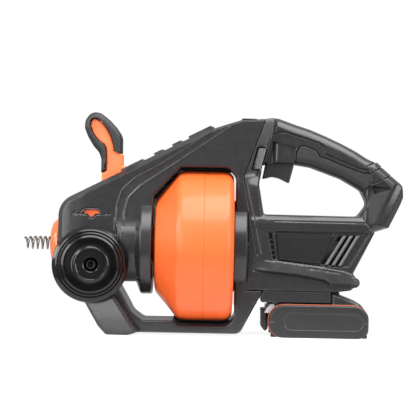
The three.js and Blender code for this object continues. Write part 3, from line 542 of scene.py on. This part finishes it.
# ---------- nose ----------
def nose():
    bezel = spun("cable_bezel", [
        [-66.3, 9], [-66.3, 26.6, 0.5], [-69.4, 26.2, 2.5], [-73.6, 21.6, 5], [-75.4, 15, 3],
        [-75.8, 10.5, 1.5], [-74.6, 9, 1],
    ])
    dress(bezel, "orange_moulding", "frame", "nose_bezel", material="bezel_orange")
    # the boring head: an open spring that narrows to its tip
    turns, per_turn = 7.3, 40
    count = int(turns * per_turn)
    t = np.arange(count + 1) / per_turn
    out = np.interp(t, [0, 0.5, turns], [0, 1.2, 38])
    radius = np.interp(t, [0, turns * 0.75, turns], [6.2, 6.4, 5.4])
    angle = 2 * math.pi * t
    path = np.stack([-66.5 - out, radius * np.cos(angle), AXIS_Z + radius * np.sin(angle)], 1)
    head = swept("boring_head", path, 1.15, 14)
    dress(head, "spring_steel", "cable", "auger_head", material="worn_steel")


# ---------- drum ----------
def drum():
    front = spun("drum_front", [
        [24, 10], [24, 16.7], [37.5, 16.7], [37.5, 26], [39, 26], [39, 47, 1], [40.5, 52.2, 4],
        [65, 81.4, 9], [74, 82], [91.9, 82, 0.35], [91.9, 78.8], [67, 78.8, 4], [43, 50, 3], [42, 10],
    ], turns=192)
    dress(front, "orange_moulding", "drum", "drum_front_shell")
    rear = spun("drum_rear", [
        [92.0, 79], [92.0, 82, 0.35], [112, 82], [119.5, 81.6, 8], [123.6, 76, 5], [124, 70], [124, 16],
        [121, 16], [121, 70], [118, 79, 4],
    ], turns=192)
    dress(rear, "orange_moulding", "drum", "drum_rear_shell")


# ---------- side handle ----------
def cut_arc(obj, start, end):
    """Keeps the part of a turned piece between two angles in degrees about the side handle's axis."""
    bm = bmesh.new()
    bm.from_mesh(obj.data)
    gone = []
    for face in bm.faces:
        at = face.calc_center_median() / MM
        angle = math.degrees(math.atan2(at.z - SIDE_BASE[2], at.x - SIDE_BASE[0]))
        if not start < angle < end:
            gone.append(face)
    bmesh.ops.delete(bm, geom=gone, context="FACES")
    edges = [edge for edge in bm.edges if edge.is_boundary]
    bmesh.ops.holes_fill(bm, edges=edges)
    bmesh.ops.recalc_face_normals(bm, faces=bm.faces)
    bm.to_mesh(obj.data)
    bm.free()


def side_handle():
    grip = spun("side_grip", [
        [0, 5.4], [0, 14], [2, 14, 0.5], [2, 38.4, 1], [3, 40.6, 1], [5, 40.6, 2], [8.7, 37, 3],
        [9.8, 35.2, 0.6], [8.6, 34.9, 0.2], [8.6, 34.4, 0.2], [10.2, 34, 1], [11.6, 32.2, 0.6],
        [10.4, 31.8, 0.2], [10.4, 31.3, 0.2], [11.9, 30.9, 1], [13.6, 28.4, 1.2], [12.8, 26.9, 1],
        [11, 20, 8], [14, 15.2, 4], [32, 15, 10], [60, 15.6, 8], [90, 16.2, 4], [100.4, 16.8, 0.3],
        [101.2, 16.2, 0.3], [101.2, 15.7, 0.2], [100, 15.3, 0.2], [99.7, 14.6, 0.2], [100.1, 9, 1],
        [100.2, 8, 0.4], [99.8, 7.1, 0.3], [94, 6.9], [90, 5.4],
    ], start=SIDE_BASE, direction=SIDE_LEAN, turns=160)
    bolt = spun("side_bolt", [
        [-12, 0.02], [-12, 4.9], [91, 4.9], [91, 5.8, 0.3], [94.6, 5.8, 1.2], [96.4, 4.2, 0.8],
        [96.2, 3.2, 0.2], [93, 2.9], [93, 0.02],
    ], start=SIDE_BASE, direction=SIDE_LEAN, turns=48)
    dress(bolt, "spring_steel", "frame", "side_handle_bolt", material="drilled_steel")
    lug_profile = [[-0.4, 37.2], [-0.4, 42.4, 0.4], [1.6, 42.4, 0.4], [1.6, 37.2]]
    lug = spun("handle_lug", lug_profile, start=SIDE_BASE, direction=SIDE_LEAN, turns=160)
    cut_arc(lug, 33, 52)
    dress(lug, "black_housing", "frame")
    # the grip gets the darker black of painted shade, for its shadowed concave end
    dress(grip, "black_housing", "frame", "side_handle_grip", material="painted_shade_black")


# ---------- feed lever ----------
STALK_HALF = 9.5
LEVER_STALK = [
    [-24, 143], [-21.5, 165], [-20.5, 176], [-18, 205, 6], [-30, 222, 8], [-33, 231, 6], [-28, 236, 6],
    [-14, 228, 10], [-5, 212, 10], [-3.5, 199], [0, 197], [0, 184], [8.5, 181.4], [6, 174], [-2, 160],
    [-12, 143],
]
# the thumb pad's edge, shared by the face and the rubber grip round it
LEVER_PAD = [
    [-7.7, 198.3, 1], [-8.3, 204.7, 6], [-11.6, 214.6, 20], [-16.3, 223.6, 20], [-23.8, 231.7, 14],
    [-30.2, 234.1, 6], [-33.9, 231.8, 5], [-34.5, 226.0, 8], [-31.3, 217.5, 12], [-26.1, 210.7, 12],
    [-19.3, 205.4, 8], [-16.8, 201.3, 6], [-16.3, 176.2, 1],
]
LEVER_FACE = LEVER_PAD + [
    [-21.2, 174.5], [-21.3, 168.1], [-22, 158], [-2, 158], [6.4, 174.1, 1], [9.0, 181.0, 1], [1.9, 182.4, 1],
    [1.7, 194.9, 1],
]
LEVER_BACK = [
    [-22.1, 174.7], [-22.0, 189.4, 8], [-24.7, 196.7, 10], [-30.5, 203.0, 14], [-37.1, 213.8, 16],
    [-41.0, 223.8, 12], [-40.2, 231.7, 12], [-35.8, 238.0, 10], [-30.3, 240.9, 10], [-23.0, 239.7, 12],
    [-13.7, 232.6, 30], [-5.3, 223.6, 30], [-0.6, 216.4, 12], [0.8, 211.8, 10], [0.9, 195.3, 1],
]
LEVER_ARM = [
    [-36.5, 89.5, 6], [-22.5, 89.5, 6], [-20.5, 120], [-12, 143], [-12, 156], [-36, 146], [-37.5, 120],
]


def lever():
    g = Grid((-46, 16), (-STEP, 36), (86, 246), FINE_STEP)
    x, a, z = g.x, g.a, g.z
    face = region(LEVER_FACE, x, z)
    grip = region(LEVER_BACK + LEVER_PAD, x, z)
    whole = np.minimum(grip, region(LEVER_BACK, x, z))
    stalk = meet(meet(face, a - STALK_HALF, 2.5), 158 - z)
    low = np.maximum(region(LEVER_STALK, x, z), a - 8)
    stalk = np.minimum(stalk, np.maximum(low, z - 160))
    # the thumb pad is slightly hollow
    pad = np.hypot((x + 27) * 0.88 + (z - 219) * 0.48, 0.55 * ((z - 219) * 0.88 - (x + 27) * 0.48))
    stalk = np.maximum(stalk, a - STALK_HALF + 0.9 * ease(1.1 - pad / 8))
    arm = meet(region(LEVER_ARM, x, z), np.maximum(28.6 - a, a - 31.4), 0.5)
    bridge = np.maximum(region([[-36, 140], [-12, 140], [-12, 156], [-36, 146]], x, z), a - 31.4)
    crank_pin = cylinder_y(g, -29.5, AXIS_Z + 10.6, 2, (25.7, 30))
    pins = np.minimum(crank_pin, cylinder_y(g, -29.5, AXIS_Z, 3.6, (29, 34.3)))
    orange = np.minimum(np.minimum(stalk, arm), np.minimum(bridge, pins))
    stalk = both_halves("lever_stalk", g, orange)
    # the lever's orange is made lighter: a painted highlight
    dress(stalk, "orange_moulding", "feed_lever", "feed_lever", material="painted_highlight_orange")
    cover = meet(whole, a - 13, 6)
    cover = np.maximum(cover, grip)
    cover = without(cover, face - 0.2, 0.6)
    dress(both_halves("lever_grip_cover", g, cover), "black_rubber", "feed_lever", "lever_grip")


FLAG = [[-38, 130.2], [-38, 133, 0.5], [-21, 133, 0.5], [-21, 130.2], [-28, 130], [-29.5, 125.5], [-31, 130]]


def indicator():
    """The flag on the lever's near arm, just behind the window."""
    g = Grid((-40, -19), (30, 33), (123, 135), 0.3)
    flag = region(FLAG, g.x, g.z)
    body = bevel(flag, np.maximum(g.a - 31.9, 30.9 - g.a), 0.3)
    dress(skin("indicator_flag", g, body, -1), "orange_moulding", "feed_lever", "feed_indicator")


# ---------- rear housing ----------
REAR_OUTLINE = [
    [156.6, 235.6], [170, 238, 10], [176.4, 235.8, 60], [189.7, 231.1, 60], [206.3, 225.9, 60],
    [223.0, 219.1, 60], [239.6, 211.7, 60], [256.3, 203.2, 60], [270.8, 194.2, 60], [279, 191.2, 8],
    [308.5, 166.5, 6], [310.5, 152, 4], [294.6, 120], [277.5, 114.4], [253.4, 70], [260.6, 60, 3],
    [251.5, 52, 4], [233, 49.2], [173, 49.2], [173, 37.4], [155, 37.4], [160, 48.6], [158, 50], [140, 50],
    [140, 81.5], [149.6, 89.5], [134.1, 172.3],
]
HAND_OPENING = [
    [155, 186], [151.4, 165, 4], [157, 132.3, 3], [259.5, 131.6, 6], [269.8, 145, 8], [262, 160.5, 10],
    [240, 172.8, 20], [207, 184.6, 20], [191, 187, 3],
]
MOTOR_OUTLINE = [
    [110, 50], [110, 133.5], [262, 131.5], [276, 114.5], [253.4, 70], [260.6, 60, 3], [251.5, 52, 4],
    [233, 49.2],
]
COLUMN_OUTLINE = [
    [157, 118], [110, 118], [110, 235.5], [156.6, 235.6], [170.5, 238, 8], [163.5, 207], [156, 186],
    [151.4, 165],
]
RIDGE_LINES = [
    [[137.1, 168.9], [143, 142.1], [150.1, 110], [154.6, 90]],
    [[149, 92], [150.6, 87.5]],
]
CHANNEL = [
    [158, 186], [161.8, 213.2, 3], [166, 219.8, 4], [172.5, 222.1, 3], [179, 222.2, 5], [216.2, 211, 5],
    [221.7, 206.7, 3], [222.9, 199.2, 3], [238.3, 192.9, 8], [262.4, 183.6, 3], [273.2, 182.4],
    [273.3, 179.5], [264.6, 178.2, 2], [243.9, 185.4, 8], [224.1, 193.7, 4], [216.5, 195.8, 4],
    [213.1, 202.2, 4], [199.9, 207.4, 4], [194.5, 207.3, 4], [191.4, 200.7, 3], [189, 186],
]
TRIGGER_BAY = [[156, 184], [161, 212.3, 4], [189.6, 206.4, 3], [190.5, 184]]
GRIP_RIBS = [
    [[266.9, 186.5], [280, 192], [285.5, 186.3], [271.4, 178.9]],
    [[271.4, 178.9], [285.5, 186.3], [296, 177.3], [273.8, 167]],
]
GRIP_LINES = [[[266.2, 186.2], [280, 192]], [[271.4, 178.9], [285.5, 186.3]], [[273.8, 167], [296, 177.3]]]
WEDGE = [[274.9, 164.8], [286.8, 171.1], [294.1, 161.4], [277.3, 155.6]]
REAR_SCREWS = [(289, 158, GRIP_HALF), (262, 122, BODY_HALF)]
FACET = [[294.5, 161.4], [276.7, 121.9]]
FACET_END = [[306.4, 161.1], [295.5, 136.4]]
RIDGE_TOP = ([140, 152, 164.6, 176.4, 219.5, 244.3, 253, 262], [85, 83.4, 82, 81.5, 75.9, 72.1, 69, 62])
RIDGE_LOW = ([140, 196, 222.9, 228.3, 249.9, 262], [73.5, 67.9, 63.1, 58.9, 58.5, 57])
SELECTOR = [[143.4, 180.2, 1], [149, 204, 1], [158.5, 204, 1], [152.6, 180.2, 1]]
PANEL = [[160.8, 114.5, 1], [271, 114.5, 2], [249, 77.5, 2], [222, 77, 1], [172.5, 83, 1], [167.3, 83, 1]]
PLATE = [[169.4, 112.7, 1], [231.8, 110.5, 1], [217.4, 79.5, 1], [173.2, 83.8, 1]]
LOUVRES = [
    [[241.5, 110.7], [245.8, 110.8], [226.4, 79], [222.1, 79]],
    [[248.6, 110.8], [252.9, 110.9], [233.6, 78.6], [229.3, 78.5]],
    [[255.7, 111], [260, 111], [240.8, 78], [236.5, 78]],
]
VENTS = [
    [[237.4, 110.6], [241.6, 110.7], [222.2, 79.3], [218, 79.5]],
    [[245.8, 110.8], [248.6, 110.8], [229.3, 78.7], [226.4, 78.9]],
    [[252.9, 110.9], [255.7, 111], [236.5, 78.2], [233.6, 78.4]],
]
RIDGE_SLOTS = [
    [[205, 76.2], [217.4, 74.4], [217.4, 72.8], [205, 74.6]],
    [[220, 74.1], [239, 71.3], [239, 69.7], [220, 72.5]],
]
VENT_PAD = [[232, 113], [266, 113], [246, 76], [212, 76]]
FRONT_VENT = [[161.5, 113], [165, 113], [170, 84], [167, 84]]


def grip_shape(g):
    """The rear outline, the hand opening, and the grip and knuckle between them."""
    rear, hand = (region(outline, g.x, g.z) for outline in (REAR_OUTLINE, HAND_OPENING))
    return rear, hand, without(meet(rear, g.a - GRIP_HALF, 13), hand, 9)


def rear_halves():
    g = Grid((131, 313), (-STEP, 39), (35, 241))
    x, a, z = g.x, g.a, g.z
    rear, hand, grip = grip_shape(g)
    # the knuckle's rear face slopes away behind a slanted edge, with a dark wedge above it
    behind, past = (beyond(line, x, z) for line in (FACET, FACET_END))
    fall = 0.34 * np.maximum(behind, -0.5) + 0.0022 * np.clip(z - 128, 0, 50) ** 2 * ease(behind / 4)
    before = 0.24 * np.clip(-behind, 0, 18) * ease((166 - z) / 4) * ease((x - 262) / 8)
    face = a - GRIP_HALF + 0.3
    grip = np.maximum(grip, (face + fall) / 1.06)
    grip = np.maximum(grip, (face + fall + 1.3 * past) / 1.6)
    grip = np.maximum(grip, (face + before) / 1.03)
    channel = region(CHANNEL, x, z)
    grip = carve(grip, channel, 0.9)
    grip = carve(grip, np.abs(channel) - 0.5, 1.3)
    bay_floor = np.interp(x, [156, 165, 168.5, 171, 176, 192], [11.6, 11.6, 13.6, 14.2, 14.2, 12.2])
    grip = without(grip, np.maximum(region(TRIGGER_BAY, x, z), bay_floor - a), 1.2)
    for rib, height in zip(GRIP_RIBS, (1.0, 0.3)):
        grip = raised(grip, region(rib, x, z), height)
    for line in GRIP_LINES:
        grip = carve(grip, stroke(line, x, z, 0.4), 1.0)
    grip = carve(grip, region(WEDGE, x, z), 1 + 0.32 * np.clip(170 - z, 0, 14))
    # half width of the motor housing: a groove high up, the lower part set in, the panel sunk
    width = BODY_HALF - 0.9 * ease(0.5 - stroke([[150, 125.6], [274, 124.6]], x, z, 0.7) / 0.8)
    width = width - 0.8 * ease(0.5 + (119.6 - z) / 0.8)
    top, low = np.interp(x, *RIDGE_TOP), np.interp(x, *RIDGE_LOW)
    width = width - 2.6 * ease(0.5 - np.maximum(region(PANEL, x, z), top + 1 - z) / 0.8)
    # a shelf runs along the side: its upper face slopes out, then it steps back in over the low band
    slope = np.clip((top - z) / (top - low), 0, 1)
    shelf = ease((top - z) / 1.0 + 0.5) * ease((z - low) / 1.0 + 0.5) * ease((x - 141) / 30)
    width = width + (0.8 + 3.8 * slope) * shelf
    under = ease(0.5 + (0.75 - np.abs(low - 1.1 - z)) / 0.5)
    width = width - 1.3 * under * ease((x - 143) / 6) * ease((231 - x) / 4)
    motor = bevel(region(MOTOR_OUTLINE, x, z), a - width, 2.0, 0.8)
    motor = meet(motor, (a - BODY_HALF + 0.86 * (z - 126.3)) / math.hypot(1, 0.86), 1)
    motor = without(motor, hand, 1.5)
    for slot in RIDGE_SLOTS:
        motor = carve(motor, region(slot, x, z), 1.2)
    for line in RIDGE_LINES:
        motor = carve(motor, stroke(line, x, z, 0.45), 0.7)
    from_nub = np.hypot(x - 255.2, z - 60.4)
    nub = meet(from_nub - 5.4, a - 35.2, 1.5)
    nub = carve(nub, np.abs(from_nub - 3.6) - 0.4, 0.7)
    motor = np.minimum(motor, nub)
    # the column narrows from the frame's width to the grip's
    from_seam = region(FRAME_OUTLINE, x, z)
    column_width = 30.5 - (1.6 + 0.38 * np.clip(from_seam, 0, 12)) * ease((z - 160) / 16)
    column_width = np.where(region(SELECTOR, x, z) < 1.0, COLUMN_HALF - 1, column_width)
    column = bevel(region(COLUMN_OUTLINE, x, z), a - column_width, 2, 1.2)
    column = without(column, hand, 4)
    column = carve(column, stroke(RIDGE_LINES[0], x, z, 0.45), 0.7)
    shoe = cuboid(g, (155, 230), (-1, 30), (37.4, 50), 1)
    shoe = np.minimum(shoe, cuboid(g, (173, 240), (-1, 24.4), (36, 49.2), 0.5))
    rails = cuboid(g, (173, 230), (19.4, 24.6), (37.4, 40))
    body = join(join(grip, motor, 1.5), column, 1.5)
    body = join(body, np.minimum(shoe, rails), 0.5)
    body = without(body, hand)
    inner_grip = np.maximum(rear + WALL, a - GRIP_HALF + WALL)
    inner_grip = np.maximum(inner_grip, np.maximum(-(hand - WALL), 52.2 - z))
    inner_motor = np.maximum(region(MOTOR_OUTLINE, x, z) + WALL + 0.5, a - BODY_HALF + WALL + 0.6)
    inner_column = np.maximum(region(COLUMN_OUTLINE, x, z) + WALL, a - COLUMN_HALF + WALL)
    inner = np.minimum(np.minimum(inner_grip, inner_motor), inner_column)
    shell = without(body, np.maximum(inner, body + 2))
    # the wall is thicker where the vents go in, so that they end blind
    shell = np.minimum(shell, np.maximum(region(VENT_PAD, x, z), np.maximum(18 - a, a - 30)))
    shell = np.minimum(shell, np.maximum(region(FRONT_VENT, x, z) - 3, np.maximum(23.4 - a, a - 30)))
    for slot, floor in [(vent, 20) for vent in VENTS] + [(FRONT_VENT, 26.8)]:
        shell = without(shell, np.maximum(region(slot, x, z), floor - a), 0.3)
    shell = meet(shell, 0.12 - from_seam, 0.7)
    shell = without(shell, cylinder_x(g, (130, 165), 23.4))
    shell = without(shell, region(SELECTOR, x, z) - 0.6, 0.4)
    pocket = np.maximum(region([[152, 160], [152, 203], [192, 203], [192, 160]], x, z), a - 9.5)
    shell = without(shell, pocket, 0.4)
    shell = without(shell, cuboid(g, (175.5, 196.5), (-1, 15.5), (48, 58)))
    skin_room = np.maximum(region(OVERMOLD, x, z) - 0.25, -(grip + 1.3))
    shell = without(shell, skin_room)
    shell = np.maximum(shell, SPLIT - a)
    dress(skin("rear_half_near", g, shell, -1), "black_housing", "frame", "rear_housing_near")
    # the screws go in from the far side
    far = shell
    for px, pz, w in REAR_SCREWS:
        far = join(far, cylinder_y(g, px, pz, 4.6, (SPLIT, w - 1)))
        far = without(far, cylinder_y(g, px, pz, 3.8, (w - 6, 60)), 0.4)
        far = without(far, cylinder_y(g, px, pz, 2, (0, 60)))
    dress(skin("rear_half_far", g, far, 1), "black_housing", "frame", "rear_housing_far")


def side_plates():
    """A plain dark plate in the recess of each side, the front vent's toothed floor in painted shade and the
    louvre bars in a painted highlight.
    """
    g = Grid((166, 236), (28, 34), (76, 116), FINE_STEP)
    x, a, z = g.x, g.a, g.z
    plate = region(PLATE, x, z)
    body = np.maximum(bevel(plate, a - 32.2, 0.7), 28.8 - a)
    body = carve(body, np.abs(plate + 2.4) - 0.35, 0.4)
    for half, side in SIDES:
        dress(skin(f"side_plate_{half}", g, body, side), "black_housing", "frame", material="plate_grain")
    g = Grid((158, 174), (25, 31), (82, 115), FINER_STEP)
    vent = region(FRONT_VENT, g.x, g.z)
    back = np.maximum(vent - 0.8, np.maximum(26.2 - g.a, g.a - 27.4))
    for height in (88, 93.5, 99, 104.5):
        tooth = cuboid(g, (160, 172), (26.2, 29.2), (height, height + 0.8), 0.2)
        back = np.minimum(back, np.maximum(vent - 0.8, tooth))
    for half, side in SIDES:
        # the vent's floor is near black: painted shade for the shadow inside its slots
        dress(skin(f"vent_back_{half}", g, back, side), "black_housing", "frame", material="painted_shade_black")
    g = Grid((218, 264), (26, 35), (74, 115), FINER_STEP)
    bars = [meet(region(louvre, g.x, g.z), np.maximum(g.a - 33.6, 27 - g.a), 2.1) for louvre in LOUVRES]
    bars = np.minimum(np.minimum(*bars[:2]), bars[2])
    # the louvre bars are lighter grey: a painted highlight
    for half, side in SIDES:
        dress(skin(f"louvre_bars_{half}", g, bars, side), "black_housing", "frame", material="painted_highlight_grey")


OVERMOLD = [
    [190.6, 186.6], [207, 181.6, 20], [240, 170.2, 20], [262, 158.5, 6], [270, 165, 3], [273, 178.6, 2],
    [264.6, 178.2, 2], [243.9, 185.2, 8], [224.1, 193.5, 4], [216.3, 195.6, 4], [212.9, 202, 4],
    [199.9, 207.2, 4], [194.7, 207.1, 4], [191.8, 200.5, 3],
]


def overmold():
    g = Grid((188, 276), (-STEP, 20), (156, 214))
    grip = grip_shape(g)[-1]
    cover = meet(grip - 0.1, region(OVERMOLD, g.x, g.z), 0.5)
    cover = without(cover, grip + 1.1)
    dress(both_halves("soft_grip", g, cover), "black_rubber", "frame", "grip_overmold")


# ---------- controls ----------
TRIGGER_OUTLINE = [
    [154.8, 171], [159, 171.6], [165, 173.4, 6], [172.6, 172, 6], [184, 166.6, 1], [190, 190], [189.5, 195],
    [158, 195], [157.6, 186],
]


def controls():
    g = Grid((150, 194), (-STEP, 11), (164, 198), FINER_STEP)
    body = meet(region(TRIGGER_OUTLINE, g.x, g.z), g.a - 9, 2)
    dress(both_halves("trigger_lever", g, body), "black_housing", "trigger", "trigger")
    # the trigger's return spring, closely wound at its ends, built once at rest and carried by the trigger
    tilt = math.radians(14)
    push = np.array([math.sin(tilt), 0, math.cos(tilt)])
    across = np.array([push[2], 0, -push[0]])
    base = np.array([173, 0, 195.4])
    length, radius, turns, wire = 13.2, 3.2, 6, 0.5
    t = np.linspace(0, 1, 121)[:, None]
    rise = length * np.interp(t, [0, 0.2, 0.8, 1], [0, 0.12, 0.88, 1])
    turn = 2 * math.pi * turns * t
    path = base + push * rise + radius * (across * np.cos(turn) + np.array([0, 1, 0]) * np.sin(turn))
    spring = swept("trigger_return_spring", path, wire, 8)
    dress(spring, "spring_steel", "trigger", "trigger_spring")
    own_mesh(spring)
    g = Grid((140, 162), (-STEP, 29), (178, 206), FINER_STEP)
    body = bevel(region(SELECTOR, g.x, g.z), g.a - 28.3 + 0.3 * (g.x - 148), 0.7)
    dress(both_halves("selector_button", g, body), "grey_moulding", "selector", "direction_selector")


# ---------- battery ----------
LEFT, RIGHT, TOP = 157.0, 272.0, 36.6
LABEL = [[180, 8.5, 8], [260, 8.5, 8], [265, 14, 4], [265, 21, 4], [259, 26.4, 4], [180, 26.8, 8]]
BUTTON = [[155, 29.6, 1.5], [160.6, 29.6], [162, 24], [163.5, 8], [160.5, 4.4, 1.5], [155.4, 10.5, 2]]
CAP_EDGE = [
    [LEFT + 6, 0.1, 16], [RIGHT - 1.3, 0.1, 12], [RIGHT - 1.3, TOP - 1.1, 16], [LEFT + 6, TOP - 1.1, 17],
]
STADIUM = [[LEFT + 5, 0, 16], [RIGHT - 1, 0, 12], [RIGHT - 1, TOP, 17], [LEFT + 5, TOP, 18]]
HUMP = [
    [230.6, 20], [230.6, 48.2, 1], [234, 48.2, 2], [262, 37.5, 12], [RIGHT, 25, 12], [RIGHT, 4, 6],
    [262, 1], [240, 3],
]


def battery():
    g = Grid((154, 274), (-STEP, 38), (-1, 51))
    x, a, z = g.x, g.a, g.z
    stadium = region(STADIUM, x, z)
    core = meet(stadium + 0.8, a - 32.4, 1)
    hump = meet(region(HUMP, x, z), a - 30, 4)
    core = join(core, hump, 1)
    for block in (
        cuboid(g, (176, 231), (-1, 23.8), (40.4, 48.6), 1),
        cuboid(g, (176, 231), (-1, 19), (30, 41)),
        cuboid(g, (190, 250), (-1, 24), (0, 4), 0.5),
    ):
        core = np.minimum(core, block)
    for bay in (
        cuboid(g, (172, 267), (-1, 31.3), (3.5, 23.5)),
        cuboid(g, (180, 226), (-1, 17), (20, 45.5)),
        cuboid(g, (LEFT - 3, LEFT + 16), (-1, 14.4), (6, 34)),
        cuboid(g, (LEFT + 3, LEFT + 10), (-1, 14.4), (30, 40)),
    ):
        core = without(core, bay)
    for y in (4, 12):
        core = without(core, cuboid(g, (170, 190), (y - 1, y + 1), (42, 52)))
    dress(both_halves("battery_core", g, core), "black_housing", "battery", "battery_core_case")
    trim = meet(stadium + 0.1, np.maximum(32.7 - a, a - 34.3), 0.4)
    label = region(LABEL, x, z)
    width = 36.5 - 0.7 * ease(0.5 - label / 0.8)
    for mark in ([[163.6, 17.5], [167.8, 17.5]], [[265.8, 17.3], [269.4, 17.3]]):
        width = width - 0.7 * ease(0.5 - stroke(mark, x, z, 0.6) / 0.6)
    cap = np.maximum(bevel(region(CAP_EDGE, x, z), a - width, 1.4), 34.5 - a)
    for half, side in SIDES:
        line = skin(f"battery_line_{half}", g, trim, side)
        # the trim line is darkened orange: painted shade for its recess
        dress(line, "orange_moulding", "battery", f"battery_trim_{half}", material="painted_shade_orange")
        side_cap = skin(f"battery_cap_{half}", g, cap, side)
        dress(side_cap, "grey_moulding", "battery", f"battery_side_cap_{half}", material="cap_grey")
    ribs = meet(np.maximum(stadium - 4.6, -stadium - 2), np.maximum(a - 27, 15.2 - a), 0.8)
    ribs = meet(ribs, np.maximum(np.maximum(z - 35.7, 25.5 - z), x - 170), 0.5)
    turn = np.arctan2(z - 19, 178 - x)
    ribs = ribs + 0.55 * (0.5 + 0.5 * np.cos(turn * 96))
    dress(both_halves("battery_ribs", g, ribs), "grey_moulding", "battery", material="pale_moulding")
    feet = [cuboid(g, span, (20, 30), (0.2, 8), 0.8) for span in ((166, 172.6), (264.5, 270))]
    dress(both_halves("battery_feet", g, np.minimum(*feet)), "black_rubber", "battery")
    g = Grid((153, 170), (-STEP, 15), (2, 35), FINER_STEP)
    button = meet(region(BUTTON, g.x, g.z), g.a - 14, 1.5)
    button = join(button, cuboid(g, (LEFT + 3.6, LEFT + 9), (-20, 14), (24, 33.5), 0.6), 0.5)
    button = carve(button, stroke([[154, 20], [166, 20]], g.x, g.z, 0.5), 0.6)
    button = both_halves("battery_button", g, button)
    dress(button, "black_housing", "battery_button", "battery_release_button")


frame_halves()
collars()
foot()
nose()
drum()
side_handle()
lever()
indicator()
rear_halves()
side_plates()
overmold()
controls()
battery()

# ---------- the CAD nodes that show as they are ----------
slots = {row["node"]: row["material_slot"] for row in frame["record"]["subparts"]}
for name, node in frame["nodes"].items():
    if not node.hide_render:
        node.data.materials.clear()
        node.data.materials.append(MATERIALS[slots[name]])

# ---------- floor, light and camera ----------
FLOOR_CENTRE, FLOOR_RADIUS, FLOOR_CORNERS = (0.1, 0.11), 0.34, 96
angle = np.linspace(0, 2 * math.pi, FLOOR_CORNERS, endpoint=False)
rim = np.stack([np.cos(angle), np.sin(angle), 0 * angle], 1) * FLOOR_RADIUS + np.array([*FLOOR_CENTRE, 0])
floor = make_mesh("floor", rim, [tuple(range(FLOOR_CORNERS))])
studio_white = bpy.data.materials.new("studio_white")
studio_white.use_nodes = True
floor.data.materials.append(studio_white)
for socket, value in (
    ("Base Color", (0.3, 0.3, 0.3, 1)),
    ("Roughness", 1.0),
    ("Specular IOR Level", 0.0),
    ("Emission Color", (1, 1, 1, 1)),
    ("Emission Strength", 0.88),
):
    studio_white.node_tree.nodes["Principled BSDF"].inputs[socket].default_value = value

world = bpy.data.worlds.new("studio")
bpy.context.scene.world = world
world.use_nodes = True
nodes, links = world.node_tree.nodes, world.node_tree.links
nodes["Background"].inputs["Color"].default_value = (1, 1, 1, 1)
direction = nodes.new("ShaderNodeTexCoord")
parts = nodes.new("ShaderNodeSeparateXYZ")
links.new(direction.outputs["Generated"], parts.inputs["Vector"])


def glow(axis, start, end, low_value, high_value):
    """A share of the room's light that changes along one axis."""
    node = nodes.new("ShaderNodeMapRange")
    node.interpolation_type = "SMOOTHSTEP"
    node.inputs["From Min"].default_value, node.inputs["From Max"].default_value = start, end
    node.inputs["To Min"].default_value, node.inputs["To Max"].default_value = low_value, high_value
    links.new(parts.outputs[axis], node.inputs["Value"])
    return node.outputs["Result"]


def combine(operation, p, q):
    """Adds, subtracts or multiplies two numbers or sockets."""
    node = nodes.new("ShaderNodeMath")
    node.operation = operation
    for socket, value in zip(node.inputs, (p, q)):
        if isinstance(value, float):
            socket.default_value = value
        else:
            links.new(value, socket)
    return node.outputs["Value"]


# the room lights the object unevenly, and the camera sees it plain white
room = combine("ADD", glow("Y", -0.8, 0.4, 0.32, 0.45), glow("Z", 0.2, 0.7, 0.0, 0.3))
seen = nodes.new("ShaderNodeLightPath").outputs["Is Camera Ray"]
strength = combine("ADD", combine("MULTIPLY", room, combine("SUBTRACT", 1.0, seen)), seen)
links.new(strength, nodes["Background"].inputs["Strength"])


def panel_light(name, location, target, size, power):
    """A soft light: location and target in metres, width and height, watts."""
    data = bpy.data.lights.new(name, "AREA")
    data.shape = "RECTANGLE"
    data.size, data.size_y = size
    data.energy = power
    obj = bpy.data.objects.new(name, data)
    bpy.context.scene.collection.objects.link(obj)
    obj.location = location
    obj.rotation_euler = (Vector(target) - Vector(location)).to_track_quat("-Z", "Y").to_euler()
    obj.visible_camera = False


panel_light("top", (0.42, -0.5, 1.2), (0.15, 0, 0.1), (1.5, 0.9), 27)
panel_light("front_left", (-0.53, -1.45, 0.36), (0.0, 0, 0.1), (0.4, 0.9), 7)
panel_light("left", (-1.2, -0.75, 0.6), (0.05, 0, 0.1), (0.3, 1.1), 8)
panel_light("right", (1.15, -1.12, 0.4), (0.2, 0, 0.12), (0.35, 0.7), 8)
panel_light("side", (-1.25, -0.15, 0.5), (-0.05, 0, 0.1), (0.3, 0.45), 4)
panel_light("top_left", (-0.75, -0.9, 0.85), (0, 0, 0.1), (0.4, 0.4), 5)

scene = bpy.context.scene
scene.view_settings.view_transform = "Standard"
CAMERA_AT, CAMERA_ROLL = (0.0958, -1.45, 0.138), 1.1
camera_data = bpy.data.cameras.new("camera")
camera_data.lens = 114
camera_data.sensor_width = 36
camera = bpy.data.objects.new("camera", camera_data)
scene.collection.objects.link(camera)
camera.matrix_world = (
    Matrix.Translation(CAMERA_AT)
    @ Matrix.Rotation(math.radians(90), 4, "X")
    @ Matrix.Rotation(math.radians(CAMERA_ROLL), 4, "Z")
)
scene.camera = camera
